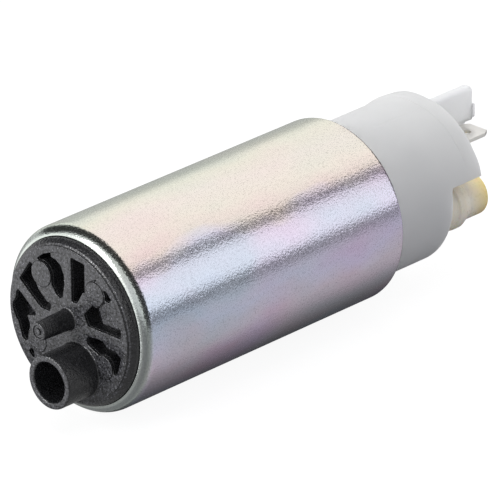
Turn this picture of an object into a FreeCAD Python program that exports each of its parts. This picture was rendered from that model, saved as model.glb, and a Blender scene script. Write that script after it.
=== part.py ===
# Electric fuel pump: a rolled steel housing with a vane pump, a two-pole motor and valves.
# Millimetres. The pump axis is Y, the inlet end points to -Y and the outlet end to +Y.
# The origin lies on the axis, half way along the steel housing.
import FreeCAD, Part
import math
import os

import Sketcher
from FreeCAD import Placement, Rotation, Vector

SIZES = {
    # Steel housing, rolled over both covers
    "shell_length": 72.1,
    "shell_radius": 19,
    "shell_wall": 1,
    "inlet_roll": 2.6,
    "inlet_lip": 1.94,
    "outlet_roll": 0.8,
    "outlet_lip_gap": 0.07,
    # Gaps between pieces that are pressed or clamped together, and between those that slide
    "fit_gap": 0.02,
    "seat_gap": 0.1,
    "slide_gap": 0.1,
    "bearing_gap": 0.02,
    # Inlet cover
    "cover_depth": 8,
    "face_lead": 2,
    "face_step": 0.4,
    "rim_lead": 0.5,
    "rim_gap": 0.11,
    "rim_width": 1.1,
    "slot_depth": 3.6,
    "shelf_depth": 0.55,
    "traced_radius": 15.85,
    # Inlet tube and locating pin on the cover's face
    "inlet_x": 2.68,
    "inlet_z": -8.59,
    "inlet_radius": 5.48,
    "inlet_bore_radius": 4.05,
    "inlet_reach": 8,
    "inlet_floor": 3,
    "tube_edge": 0.35,
    "pin_x": -0.25,
    "pin_z": 1.05,
    "pin_radius": 2.12,
    "pin_tip_radius": 1.85,
    "pin_reach": 7.9,
    "pin_edge": 0.45,
    "pin_mark": 0.6,
    # Side channel and ports of the vane pump
    "channel_width": 3.2,
    "channel_depth": 1.3,
    "channel_sweep": 318,
    "port_radius": 1.7,
    "port_lap": 0.6,
    # Vane impeller
    "impeller_width": 3.8,
    "impeller_side_gap": 0.1,
    "impeller_rim_gap": 0.3,
    "vane_length": 3.1,
    "vane_rim": 0.6,
    "vane_count": 31,
    "vane_thickness": 0.9,
    "vane_web": 0.5,
    "balance_radius": 7,
    "balance_hole": 0.9,
    "balance_count": 4,
    "flat_width": 3.2,
    # Pump casing
    "casing_ring": 2.68,
    "casing_plate": 3.6,
    "casing_boss_radius": 5.4,
    "casing_boss_length": 3.6,
    "casing_ribs": 6,
    "casing_rib_width": 1.4,
    "casing_rib_height": 1.8,
    "casing_rib_end": 1.6,
    # Shaft and bearings
    "shaft_radius": 2,
    "shaft_start": 6.1,
    "shaft_chamfer": 0.3,
    "shaft_flat": 0.45,
    "bush_wall": 1.3,
    "bush_length": 6,
    "bush_gap": 0.9,
    "button_radius": 2.2,
    "button_height": 1.5,
    # Armature
    "air_gap": 0.7,
    "core_inset": 3,
    "slot_count": 8,
    "tooth_tip": 1.2,
    "tooth_width": 3,
    "slot_opening": 1.5,
    "slot_floor_radius": 6,
    "coil_gap": 0.15,
    "coil_head": 4.4,
    "coil_head_step": 1,
    "coil_head_inner": 3.4,
    # Face commutator
    "commutator_radius": 9.6,
    "hub_neck": 3.7,
    "bar_thickness": 1.6,
    "bar_slit": 0.5,
    "bar_inner_radius": 3.8,
    "hub_thickness": 1.2,
    "hub_radius": 3.2,
    # Field magnets and the clips that spread them
    "magnet_thickness": 4.68,
    "magnet_gap": 5.4,
    "magnet_end_gap": 10.08,
    "magnet_sweep": 146,
    "clip_thickness": 0.5,
    "clip_leg": 3.4,
    "clip_inset": 1,
    "clip_leg_sweep": 2,
    # Outlet cover
    "neck_setback": 1.62,
    "traced_neck": 16.38,
    "flange_length": 10,
    "platform_height": 17.35,
    "crown_height": 26.2,
    "crown_cut": 3.7,
    "end_wall": 3.6,
    "neck_wall": 1.8,
    "edge_round": 0.45,
    "lead_in_start": 22.15,
    "lead_in_bulge": 0.3,
    "lead_in_end": 0.4,
    "lead_in_low": 11.5,
    "lead_in_high": 78.5,
    "band_start": 19.1,
    "band_peak": 23.4,
    "band_height": 0.5,
    "band_high": 146,
    "boss_radius": 4.6,
    # Brushes in their guides
    "brush_offset": 7,
    "brush_depth": 3.8,
    "brush_width": 5.6,
    "brush_length": 10,
    "brush_face_gap": 0.06,
    "guide_wall": 0.9,
    "brush_overhang": 3,
    "brush_spring_radius": 1.35,
    "brush_spring_turns": 7,
    "spring_wire": 0.25,
    "cap_thickness": 0.8,
    # Terminal wall on the crown, and the two tab terminals
    "wall_x": 0.8,
    "wall_width": 2.4,
    "wall_reach": 12.8,
    "wall_top": 15.06,
    "wall_corner": 1.3,
    "bump_height": 3,
    "bump_depth": 0.6,
    "bump_z": 9.5,
    "niche_height": 1.2,
    "niche_length": 5.4,
    "niche_start": 0.4,
    "niche_depth": 2,
    "niche_drop": 0.5,
    "blade_width": 6.3,
    "blade_thickness": 0.8,
    "blade_top": 6.2,
    "blade_reach": 13.2,
    "blade_root": 3.15,
    "blade_x": 2.95,
    "blade_spacing": 7.3,
    "blade_chamfer_side": 0.8,
    "blade_chamfer_end": 1.4,
    "blade_hole_radius": 0.95,
    "blade_hole_back": 3.6,
    # Outlet tube
    "outlet_x": 9.94,
    "outlet_z": -3.03,
    "outlet_radius": 4.5,
    "outlet_bore_radius": 3.2,
    "outlet_mouth_radius": 3.4,
    "outlet_mouth_depth": 6,
    "outlet_reach": 12.65,
    "outlet_base_radius": 5,
    "bead_radius": 5.35,
    "bead_start": 3.2,
    "bead_front": 5.1,
    "bead_end": 7.2,
    "spigot_radius": 4.3,
    # Check valve in the outlet tube
    "valve_hole_radius": 2,
    "valve_floor": 1.6,
    "poppet_radius": 2.7,
    "poppet_thickness": 1.2,
    "stem_radius": 0.75,
    "check_spring_radius": 1.5,
    "check_spring_turns": 4,
    "check_spring_squeezed": 2.9,
    "check_lift": 1.6,
    "retainer_thickness": 1.4,
    "retainer_window": 1,
    "retainer_windows": 4,
    # Relief valve on the platform
    "relief_x": -10.4,
    "relief_z": -4.6,
    "relief_bore_radius": 1.9,
    "relief_boss_radius": 3.1,
    "relief_hole_radius": 0.9,
    "relief_vent_radius": 0.45,
    "relief_seat": 1.2,
    "ball_radius": 1.4,
    "ball_cap": 1.05,
    "relief_spring_radius": 1,
    "relief_spring_turns": 3,
    "relief_spring_squeezed": 1.4,
    "relief_lift": 0.8,
    # Sealing ring round the outlet cover
    "seal_section": 0.9,
    "seal_back": 6,
    "seal_squeeze": 0.05,
}

# Outlines of the cover's weight-saving pockets, traced on its face as (x, z); a third number
# is the radius of the arc that follows, positive where it turns left, round a round pad
DEEP_POCKETS = {
    "pocket_right": [(5.0, -1.25), (5.5, -0.75), (8.5, -0.7), (9.75, -1.75), (12.0, -1.9), (13.9, -3.0),
                     (12.9, -6.4), (12.1, -6.6), (11.94, -5.68, 2.55), (9.18, -3.36), (8.0, -3.7),
                     (5.0, -2.4)],
    "pocket_pad_strip": [(4.25, 3.5), (6.6, 6.1), (7.75, 5.75), (8.9, 2.9), (14.1, 3.0), (14.0, 1.5),
                         (5.25, 1.4)],
    "pocket_pad_side": [(9.84, 8.14, 2.7), (9.49, 10.13), (10.2, 10.1), (11.5, 8.9), (11.0, 8.1)],
    "pocket_top": [(0.9, 14.25), (4.0, 13.95), (4.0, 8.1), (2.4, 5.25), (1.0, 5.1)],
    "pocket_upper_left": [(-8.4, 11.25), (-6.5, 12.75), (-5.1, 13.4), (-5.0, 12.4), (-3.75, 12.25),
                          (-2.5, 11.5), (-1.4, 8.25), (-1.5, 5.25), (-2.25, 4.9), (-3.25, 5.4),
                          (-4.39, 7.92, 2.75), (-7.58, 11.11)],
    "pocket_left": [(-10.25, 9.9), (-9.4, 9.6), (-9.82, 8.78, 2.75), (-8.79, 6.23), (-5.75, 3.0),
                    (-4.5, 2.75), (-5.0, 1.25), (-7.25, 1.25), (-8.5, 2.0), (-13.1, 5.5)],
    "pocket_lower_left": [(-13.5, 3.0), (-12.9, 2.75), (-8.75, -0.5), (-9.1, -1.0), (-11.25, -1.5),
                          (-10.5, -4.0), (-11.1, -6.75), (-11.75, -7.25), (-12.6, -6.6), (-13.6, -3.75),
                          (-15.1, -1.25), (-15.0, 0), (-14.0, 2.5)],
    "pocket_bottom_left": [(-10.9, -9.1), (-10.1, -8.25), (-9.25, -9.75), (-9.75, -10.1)],
}
SHALLOW_POCKETS = {
    "shelf_top": [(3.8, 8.1), (3.8, 14.0), (6.6, 13.0), (7.8, 12.2), (7.43, 11.34, 2.65), (4.62, 8.14)],
    "shelf_right": [(8.6, 2.8), (7.9, 5.85), (9.6, 7.9), (12.7, 7.2), (14.1, 3.6), (14.1, 2.8)],
    "shelf_strip": [(8.4, -0.5), (13.7, -0.5), (14.1, -1.9), (13.9, -3.1), (12.0, -1.8), (9.75, -1.6)],
}

BRUSH_SIDES = {"upper": 1, "lower": -1}
CLIP_SIDES = {"right": 0, "left": 180}
TERMINALS = {"terminal_positive": 0, "terminal_negative": 1}
# Steps in one turn of a spring, sides of its wire, and sides of the winding's end turns
COIL_STEPS = 9
WIRE_SIDES = 4
END_TURN_SIDES = 16
# Straight runs in the outline of a turned ball, from end to end
BALL_RUNS = 6


class Size:
    """A length with its number now and the sheet expression that keeps it current."""

    def __init__(self, number, text):
        self.number = number
        self.text = text

    def joined(self, sign, other, number):
        return Size(number, f"({self.text} {sign} {as_size(other).text})")

    def __add__(self, other):
        return self.joined("+", other, self.number + as_size(other).number)

    def __sub__(self, other):
        return self.joined("-", other, self.number - as_size(other).number)

    def __mul__(self, other):
        return self.joined("*", other, self.number * as_size(other).number)

    def __truediv__(self, other):
        return self.joined("/", other, self.number / as_size(other).number)

    def __neg__(self):
        return Size(-self.number, f"(-{self.text})")


def as_size(value):
    """Let a plain number stand where a size is expected."""
    return value if isinstance(value, Size) else Size(value, f"({value})")


def root(value):
    """Square root of a size."""
    return Size(math.sqrt(value.number), f"sqrt({value.text})")


def sine(degrees):
    """Sine of an angle that is held in the sheet in degrees."""
    return Size(math.sin(math.radians(degrees.number)), f"sin({degrees.text} * 1 deg)")


doc = FreeCAD.newDocument("fuel_pump")
sheet = doc.addObject("Spreadsheet::Sheet", "Sizes")
S = {}
for row, (alias, length) in enumerate(SIZES.items(), start=1):
    sheet.set(f"A{row}", alias)
    sheet.set(f"B{row}", str(length))
    sheet.setAlias(f"B{row}", alias)
    S[alias] = Size(length, f"Sizes.{alias}")
doc.recompute()

parts = []


def bind(thing, setting, value):
    """Tie one property of an object to the sheet."""
    thing.setExpression(setting, as_size(value).text)


def new_body(name, along=0, across=(0, 0)):
    """A sub-part whose own origin lies at the given place on the pump."""
    body = doc.addObject("PartDesign::Body", name)
    body.Label = name
    bind(body, "Placement.Base.x", across[0])
    bind(body, "Placement.Base.y", along)
    bind(body, "Placement.Base.z", across[1])
    parts.append(body)
    return body


def new_sketch(body, plane, shift=(0, 0, 0), turn=0):
    """A sketch on one of the body's own planes, shifted along the plane's axes."""
    sketch = body.newObject("Sketcher::SketchObject", "Sketch")
    support = [item for item in body.Origin.OriginFeatures if item.Role == plane][0]
    sketch.AttachmentSupport = [(support, "")]
    sketch.MapMode = "FlatFace"
    sketch.AttachmentOffset = Placement(Vector(0, 0, 0), Rotation(Vector(0, 1, 0), -turn))
    for axis, value in zip("xyz", shift):
        bind(sketch, f"AttachmentOffset.Base.{axis}", value)
    return sketch


def hold(sketch, geometry, point, place):
    """Fix one point of a sketch at a place given in sizes."""
    for kind, value in zip(("DistanceX", "DistanceY"), place):
        value = as_size(value)
        number = sketch.addConstraint(Sketcher.Constraint(kind, geometry, point, float(value.number)))
        sketch.setExpression(f"Constraints[{number}]", value.text)


def bowed(start, end, radius):
    """The arc from start to end that bends left, or right for a negative radius."""
    chord = end - start
    half = chord.Length / 2
    rise = abs(radius) - math.sqrt(max(radius * radius - half * half, 0))
    left = Vector(-chord.y, chord.x, 0) * (math.copysign(rise, -radius) / chord.Length)
    return Part.Arc(start, start + chord * 0.5 + left, end)


def outline(sketch, corners, arcs=None):
    """A closed outline through the corners; arcs gives the radius after a corner."""
    arcs = arcs or {}
    corners = [(as_size(across), as_size(along)) for across, along in corners]
    points = [Vector(across.number, along.number, 0) for across, along in corners]
    first = sketch.GeometryCount
    count = len(points)
    swapped = {}
    for index, start in enumerate(points):
        end = points[(index + 1) % count]
        if index in arcs:
            arc = bowed(start, end, arcs[index].number)
            sketch.addGeometry(arc, False)
            swapped[index] = sketch.getPoint(first + index, 1).distanceToPoint(start) > 1e-4
        else:
            sketch.addGeometry(Part.LineSegment(start, end), False)
            swapped[index] = False
    for index in range(count):
        after = (index + 1) % count
        leave = 1 if swapped[index] else 2
        enter = 2 if swapped[after] else 1
        sketch.addConstraint(Sketcher.Constraint("Coincident", first + index, leave, first + after, enter))
        hold(sketch, first + index, 2 if swapped[index] else 1, corners[index])
        if index in arcs:
            size = arcs[index]
            positive = size if size.number > 0 else -size
            number = sketch.addConstraint(Sketcher.Constraint("Radius", first + index, positive.number))
            sketch.setExpression(f"Constraints[{number}]", positive.text)


def circle(sketch, radius, centre=(0, 0)):
    """A circle whose centre and radius follow the sheet."""
    centre = (as_size(centre[0]), as_size(centre[1]))
    place = Vector(centre[0].number, centre[1].number, 0)
    number = sketch.addGeometry(Part.Circle(place, Vector(0, 0, 1), as_size(radius).number), False)
    hold(sketch, number, 3, centre)
    constraint = sketch.addConstraint(Sketcher.Constraint("Radius", number, float(as_size(radius).number)))
    sketch.setExpression(f"Constraints[{constraint}]", as_size(radius).text)


def rectangle(sketch, left, right, low, high):
    """A rectangle between two x and two z values."""
    outline(sketch, [(left, low), (right, low), (right, high), (left, high)])


def turned(body, corners, arcs=None, centre=(0, 0), turn=0, sweep=None, cut=False):
    """Turn an outline of (radius, along) about a line parallel to the pump axis."""
    sketch = new_sketch(body, "XY_Plane", (centre[0], 0, centre[1]), turn)
    outline(sketch, corners, arcs)
    kind = "PartDesign::Groove" if cut else "PartDesign::Revolution"
    feature = body.newObject(kind, "Groove" if cut else "Turned")
    feature.Profile = sketch
    feature.ReferenceAxis = (sketch, ["V_Axis"])
    feature.Angle = 360
    if sweep is not None:
        feature.Midplane = True
        bind(feature, "Angle", sweep)
    return feature


def across_plane(body, along, centre=(0, 0)):
    """A sketch square to the pump axis, with x across and z up."""
    return new_sketch(body, "XZ_Plane", (centre[0], centre[1], -as_size(along)))


def raised(body, sketch, length):
    """Pad a sketch towards the outlet end."""
    pad = body.newObject("PartDesign::Pad", "Raised")
    pad.Profile = sketch
    pad.Reversed = True
    bind(pad, "Length", length)
    return pad


def sunk(body, sketch, depth):
    """Cut a sketch into the body, towards the outlet end."""
    pocket = body.newObject("PartDesign::Pocket", "Sunk")
    pocket.Profile = sketch
    bind(pocket, "Length", depth)
    return pocket


def repeated(body, feature, count):
    """Repeat a feature evenly round the pump axis."""
    pattern = body.newObject("PartDesign::PolarPattern", "Round")
    pattern.Originals = [feature]
    pattern.Axis = (feature.Profile[0], ["N_Axis"])
    pattern.Angle = 360
    bind(pattern, "Occurrences", count)
    body.Tip = pattern
    return pattern


def coil_path(radius, length, turns):
    """Points of a coil about the Y axis, from 0 to its length."""
    points = []
    for step in range(int(turns * COIL_STEPS) + 1):
        angle = 2 * math.pi * step / COIL_STEPS
        along = length * step / (turns * COIL_STEPS)
        points.append(Vector(radius * math.cos(angle), along, radius * math.sin(angle)))
    return points


def coil_spring(name, radius, wire, length, turns, along, across):
    """A wound spring of square-edged wire, standing on its own first coil."""
    path = coil_path(radius.number, length.number - 2 * wire.number, turns.number)
    path = [point + Vector(0, wire.number, 0) for point in path]
    start = path[0]
    run = (path[1] - start).normalize()
    side = Vector(1, 0, 0)
    other = run.cross(side).normalize()
    ring = []
    for corner in range(WIRE_SIDES + 1):
        angle = 2 * math.pi * corner / WIRE_SIDES
        ring.append(start + (side * math.cos(angle) + other * math.sin(angle)) * wire.number)
    spine = Part.Wire(Part.makePolygon(path))
    spring = doc.addObject("Part::Feature", name)
    spring.Label = name
    spring.Shape = spine.makePipeShell([Part.Wire(Part.makePolygon(ring))], True, False, 1)
    bind(spring, "Placement.Base.x", across[0])
    bind(spring, "Placement.Base.y", along)
    bind(spring, "Placement.Base.z", across[1])
    parts.append(spring)


# How far a cut runs past the surface that it opens
CLEAR = 1
# Angles from the end plane at which the outline of a rolled lip turns
ROLL_TURNS = (50,)

# Places that several pieces share, along the axis and across it
inlet_end = -S["shell_length"] / 2
outlet_end = S["shell_length"] / 2
inside_radius = S["shell_radius"] - S["shell_wall"]
seated_radius = inside_radius - S["fit_gap"]
roll_centre = S["shell_radius"] - S["inlet_roll"]
lip_radius = S["shell_radius"] - S["inlet_lip"]
rim_radius = lip_radius - S["rim_gap"]
face_radius = rim_radius - S["rim_width"]
trace_scale = face_radius / S["traced_radius"]
inlet_place = (trace_scale * S["inlet_x"], trace_scale * S["inlet_z"])
neck_radius = inside_radius - S["neck_setback"]
neck_scale = neck_radius / S["traced_neck"]
outlet_place = (neck_scale * S["outlet_x"], neck_scale * S["outlet_z"])
relief_place = (neck_scale * S["relief_x"], neck_scale * S["relief_z"])
casing_start = inlet_end + S["cover_depth"]
chamber_depth = S["impeller_width"] + S["impeller_side_gap"] * 2
chamber_radius = seated_radius - S["casing_ring"]
impeller_radius = chamber_radius - S["impeller_rim_gap"]
vane_outer = impeller_radius - S["vane_rim"]
vane_inner = vane_outer - S["vane_length"]
channel_radius = (vane_inner + vane_outer) / 2
port_angle = math.degrees(math.atan2(SIZES["inlet_z"], SIZES["inlet_x"]))
bush_radius = S["shaft_radius"] + S["bush_wall"]
cover_seat = outlet_end - S["shell_wall"] - S["fit_gap"]
flange_start = cover_seat - S["flange_length"]
casing_back = casing_start + chamber_depth + S["casing_plate"]
inlet_bush_start = casing_back + S["casing_boss_length"] - S["bush_length"]
magnet_start = casing_back + S["magnet_gap"]
magnet_length = flange_start - S["magnet_end_gap"] - magnet_start
magnet_inner = seated_radius - S["magnet_thickness"]
core_radius = magnet_inner - S["air_gap"]
core_start = magnet_start + S["core_inset"]
core_length = magnet_length - S["core_inset"] * 2
hub_start = core_start + core_length + S["coil_gap"] * 2 + S["coil_head"] + S["hub_neck"]
commutator_face = hub_start + S["hub_thickness"] + S["bar_thickness"]
brush_start = commutator_face + S["brush_face_gap"]
brush_back = brush_start + S["brush_length"]
guide_start = commutator_face + S["brush_overhang"]
outlet_bush_start = commutator_face + S["bush_gap"]
shaft_start = inlet_end + S["shaft_start"]
shaft_length = outlet_bush_start + S["bush_length"] - shaft_start
cavity_depth = S["platform_height"] - S["end_wall"]
guide_end = outlet_end + cavity_depth - S["cap_thickness"] * 2
guide_depth = guide_end - guide_start
nozzle_start = outlet_end + S["platform_height"]
poppet_start = nozzle_start - S["end_wall"] + S["valve_floor"]
check_spring_start = poppet_start + S["poppet_thickness"]
check_spring_length = S["check_lift"] + S["check_spring_squeezed"]
retainer_start = check_spring_start + check_spring_length
ball_along = (outlet_end + cavity_depth + S["relief_seat"]
              + S["ball_radius"] * math.sqrt(2) - S["relief_hole_radius"] + S["seat_gap"])
relief_spring_start = ball_along + S["ball_cap"]
relief_spring_length = S["relief_lift"] + S["relief_spring_squeezed"]
relief_top = relief_spring_start + relief_spring_length + S["retainer_thickness"]


def roll_point(radius, across):
    """Height above the end plane of a roll's arc at one distance from the axis."""
    return S["inlet_roll"] - root(radius * radius - (across - roll_centre) * (across - roll_centre))


def roll_turn(radius, angle):
    """Place on a roll's arc at an angle from the end plane."""
    return (roll_centre + radius * math.sin(math.radians(angle)),
            S["inlet_roll"] - radius * math.cos(math.radians(angle)))


def housing_shell():
    """Drawn tube whose ends are rolled inwards over the covers."""
    body = new_body("housing_shell", inlet_end)
    length = S["shell_length"]
    wall = S["shell_wall"]
    outlet_lip = neck_radius + S["outlet_lip_gap"]
    corners = [
        (lip_radius, roll_point(S["inlet_roll"], lip_radius)),
        *[roll_turn(S["inlet_roll"], angle) for angle in ROLL_TURNS],
        (S["shell_radius"], S["inlet_roll"]),
        (S["shell_radius"], length - S["outlet_roll"]),
        (S["shell_radius"] - S["outlet_roll"], length),
        (outlet_lip, length),
        (outlet_lip, length - wall),
        (inside_radius, length - wall),
        (inside_radius, S["inlet_roll"]),
        (lip_radius, roll_point(S["inlet_roll"] - wall, lip_radius)),
    ]
    turned(body, corners)


def traced(points):
    """Corners of an outline on the cover's face; a third number is the radius of the arc that follows."""
    corners = [(trace_scale * point[0], trace_scale * point[1]) for point in points]
    arcs = {number: trace_scale * point[2] for number, point in enumerate(points) if len(point) > 2}
    return corners, arcs


def inlet_cover():
    """Moulded cover with the suction tube, the locating pin and half of the side channel."""
    body = new_body("inlet_cover", inlet_end)
    corner = S["inlet_roll"] - S["shell_wall"] - S["seat_gap"]
    face = -S["face_lead"]
    turned(body, [
        (0, face),
        (face_radius, face),
        (face_radius, face + S["face_step"]),
        (rim_radius, -S["rim_lead"]),
        (rim_radius, roll_point(corner, rim_radius)),
        (seated_radius, S["inlet_roll"]),
        (seated_radius, S["cover_depth"]),
        (0, S["cover_depth"]),
    ])
    for pockets, depth in ((DEEP_POCKETS, S["slot_depth"]), (SHALLOW_POCKETS, S["shelf_depth"])):
        for points in pockets.values():
            sketch = across_plane(body, face)
            outline(sketch, *traced(points))
            sunk(body, sketch, depth)
    inlet_tube(body, face)
    locating_pin(body, face)
    side_channel(body, S["cover_depth"], -S["channel_depth"])
    sketch = across_plane(body, S["cover_depth"] - S["inlet_floor"] - S["port_lap"])
    circle(sketch, S["port_radius"], channel_place(port_angle))
    sunk(body, sketch, S["inlet_floor"] + S["port_lap"])
    recess = S["cover_depth"] - S["shaft_start"] + S["button_height"] + S["seat_gap"]
    sketch = across_plane(body, S["cover_depth"] - recess)
    circle(sketch, S["button_radius"] + S["fit_gap"])
    sunk(body, sketch, recess)


def inlet_tube(body, face):
    """Suction tube with its bore and chamfered mouth."""
    centre = inlet_place
    end = face - S["inlet_reach"]
    edge = S["tube_edge"]
    radius = S["inlet_radius"]
    bore = S["inlet_bore_radius"]
    floor = S["cover_depth"] - S["inlet_floor"]
    turned(body, [(0, end), (radius - edge, end), (radius, end + edge), (radius, face + S["slot_depth"]),
                  (0, face + S["slot_depth"])], centre=centre)
    turned(body, [(0, end - CLEAR), (bore, end - CLEAR), (bore, floor), (0, floor)], centre=centre, cut=True)


def locating_pin(body, face):
    """Tapered pin with a small mark in the middle of its tip."""
    tip = face - S["pin_reach"]
    edge = S["pin_edge"]
    mark = S["pin_mark"]
    turned(body, [(0, tip), (mark, tip), (mark, tip + edge), (S["pin_tip_radius"] - edge, tip + edge),
                  (S["pin_tip_radius"] - edge, tip), (S["pin_tip_radius"], tip + edge),
                  (S["pin_radius"], face), (S["pin_radius"], face + S["slot_depth"]),
                  (0, face + S["slot_depth"])], centre=(S["pin_x"], S["pin_z"]))


def half_pitch(count):
    """Half the angle in degrees between two of a count of features."""
    return Size(180, "180") / count


def channel_place(angle):
    """Centre of a port on the channel's circle, at an angle from +X towards +Z."""
    return (channel_radius * math.cos(math.radians(angle)), channel_radius * math.sin(math.radians(angle)))


def side_channel(body, along, depth):
    """Channel that stops at the stripper between the two ports."""
    half = S["channel_width"] / 2
    middle_angle = port_angle + SIZES["channel_sweep"] / 2
    turned(body, [(channel_radius - half, along), (channel_radius - half, along + depth),
                  (channel_radius + half, along + depth), (channel_radius + half, along)],
           turn=middle_angle, sweep=S["channel_sweep"], cut=True)


def pump_casing():
    """Casing with the impeller chamber, the pressure port and a bearing boss."""
    body = new_body("pump_casing", casing_start)
    plate = chamber_depth + S["casing_plate"]
    top = plate + S["casing_boss_length"]
    bush = bush_radius + S["fit_gap"]
    hole = S["shaft_radius"] + S["impeller_rim_gap"]
    turned(body, [
        (hole, chamber_depth),
        (chamber_radius, chamber_depth),
        (chamber_radius, 0),
        (seated_radius, 0),
        (seated_radius, plate),
        (S["casing_boss_radius"], plate),
        (S["casing_boss_radius"], top),
        (bush, top),
        (bush, top - S["bush_length"]),
        (hole, top - S["bush_length"]),
    ])
    side_channel(body, chamber_depth, S["channel_depth"])
    sketch = across_plane(body, chamber_depth)
    circle(sketch, S["port_radius"], channel_place(port_angle + SIZES["channel_sweep"]))
    sunk(body, sketch, S["casing_plate"])
    sketch = across_plane(body, plate)
    half = S["casing_rib_width"] / 2
    rectangle(sketch, S["casing_boss_radius"] - half, seated_radius - S["casing_rib_end"], -half, half)
    repeated(body, raised(body, sketch, S["casing_rib_height"]), S["casing_ribs"])


def impeller():
    """Disc with a ring of vane pockets on each side of a thin web."""
    body = new_body("impeller", casing_start + S["impeller_side_gap"])
    width = S["impeller_width"]
    bore = S["shaft_radius"] + S["slide_gap"] / 2
    turned(body, [(bore, 0), (impeller_radius, 0), (impeller_radius, width), (bore, width)])
    pitch = half_pitch(S["vane_count"])
    inner_half = vane_inner * sine(pitch) - S["vane_thickness"] / 2
    outer_half = vane_outer * sine(pitch) - S["vane_thickness"] / 2
    depth = (width - S["vane_web"]) / 2
    for start in (0, width - depth):
        sketch = across_plane(body, start)
        outline(sketch, [(vane_inner, -inner_half), (vane_outer, -outer_half), (vane_outer, outer_half),
                         (vane_inner, inner_half)])
        repeated(body, sunk(body, sketch, depth), S["vane_count"])
    sketch = across_plane(body, 0)
    circle(sketch, S["balance_hole"], (S["balance_radius"], 0))
    repeated(body, sunk(body, sketch, width), S["balance_count"])
    sketch = across_plane(body, 0)
    flat = S["shaft_radius"] - S["shaft_flat"] + S["slide_gap"] / 2
    half = S["flat_width"] / 2
    rectangle(sketch, -half, half, flat, bore + S["slide_gap"])
    raised(body, sketch, width)


def rotor_shaft():
    """Ground steel shaft with a flat that drives the impeller."""
    body = new_body("rotor_shaft", shaft_start)
    radius = S["shaft_radius"]
    edge = S["shaft_chamfer"]
    turned(body, [(0, 0), (radius - edge, 0), (radius, edge), (radius, shaft_length - edge),
                  (radius - edge, shaft_length), (0, shaft_length)])
    sketch = across_plane(body, 0)
    rectangle(sketch, -radius - edge, radius + edge, radius - S["shaft_flat"], radius + edge)
    sunk(body, sketch, S["cover_depth"] - S["shaft_start"] + chamber_depth)


def bush(name, along):
    """Sintered bearing bush."""
    body = new_body(name, along)
    bore = S["shaft_radius"] + S["bearing_gap"]
    turned(body, [(bore, 0), (bush_radius, 0), (bush_radius, S["bush_length"]), (bore, S["bush_length"])])


def thrust_button():
    """Hard button that carries the end of the shaft."""
    body = new_body("thrust_button", shaft_start - S["seat_gap"] / 2)
    turned(body, [(0, -S["button_height"]), (S["button_radius"], -S["button_height"]),
                  (S["button_radius"], 0), (0, 0)])


def slot_outline(clear):
    """One armature slot, drawn to the right of the axis; clear pulls its sides in."""
    pitch = half_pitch(S["slot_count"])
    top = core_radius - S["tooth_tip"] - clear
    floor = S["slot_floor_radius"] + clear
    top_half = top * sine(pitch) - S["tooth_width"] / 2 - clear
    floor_half = floor * sine(pitch) - S["tooth_width"] / 2 - clear
    return top, floor, top_half, floor_half


def armature_core():
    """Laminated core with slots for the windings."""
    body = new_body("armature_core", core_start)
    bore = S["shaft_radius"] + S["fit_gap"]
    turned(body, [(bore, 0), (core_radius, 0), (core_radius, core_length), (bore, core_length)])
    top, floor, top_half, floor_half = slot_outline(as_size(0))
    opening = S["slot_opening"] / 2
    past = core_radius + CLEAR
    sketch = across_plane(body, 0)
    outline(sketch, [(floor, -floor_half), (top, -top_half), (top, -opening), (past, -opening),
                     (past, opening), (top, opening), (top, top_half), (floor, floor_half)])
    repeated(body, sunk(body, sketch, core_length), S["slot_count"])


def ring_corners(radius):
    """Corners of the end turns' many-sided outline."""
    turns = [2 * math.pi * side / END_TURN_SIDES for side in range(END_TURN_SIDES)]
    return [(radius * math.cos(turn), radius * math.sin(turn)) for turn in turns]


def armature_windings():
    """Copper bundles in the slots, joined by the end turns at both ends."""
    body = new_body("armature_windings", core_start)
    gap = S["coil_gap"]
    top, floor, top_half, floor_half = slot_outline(gap)
    overhang = gap + S["coil_head"] / 2
    sketch = across_plane(body, -overhang)
    outline(sketch, [(floor, -floor_half), (top, -top_half), (top, top_half), (floor, floor_half)])
    repeated(body, raised(body, sketch, core_length + overhang * 2), S["slot_count"])
    for start in (-gap - S["coil_head"], core_length + gap):
        sketch = across_plane(body, start)
        outline(sketch, ring_corners(core_radius - S["coil_head_step"]))
        outline(sketch, ring_corners(S["coil_head_inner"]))
        raised(body, sketch, S["coil_head"])


def commutator_hub():
    """Moulded hub behind the commutator bars."""
    body = new_body("commutator_hub", hub_start)
    bore = S["shaft_radius"] + S["fit_gap"]
    radius = S["commutator_radius"]
    neck = -S["hub_neck"] + S["coil_gap"]
    turned(body, [(bore, neck), (S["hub_radius"], neck), (S["hub_radius"], 0), (radius, 0),
                  (radius, S["hub_thickness"]), (bore, S["hub_thickness"])])


def commutator_bars():
    """Flat copper segments, one for each armature slot, with open slits between them."""
    body = new_body("commutator_bars", hub_start + S["hub_thickness"])
    radius = S["commutator_radius"]
    inner = S["bar_inner_radius"]
    turned(body, [(inner, 0), (radius, 0), (radius, S["bar_thickness"]), (inner, S["bar_thickness"])])
    sketch = across_plane(body, 0)
    half = S["bar_slit"] / 2
    rectangle(sketch, inner - CLEAR, radius + CLEAR, -half, half)
    repeated(body, sunk(body, sketch, S["bar_thickness"]), S["slot_count"])


def magnet(name, angle):
    """Arc-shaped field magnet against the inside of the housing."""
    body = new_body(name, magnet_start)
    turned(body, [(magnet_inner, 0), (seated_radius, 0), (seated_radius, magnet_length),
                  (magnet_inner, magnet_length)], turn=angle, sweep=S["magnet_sweep"])


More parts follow.
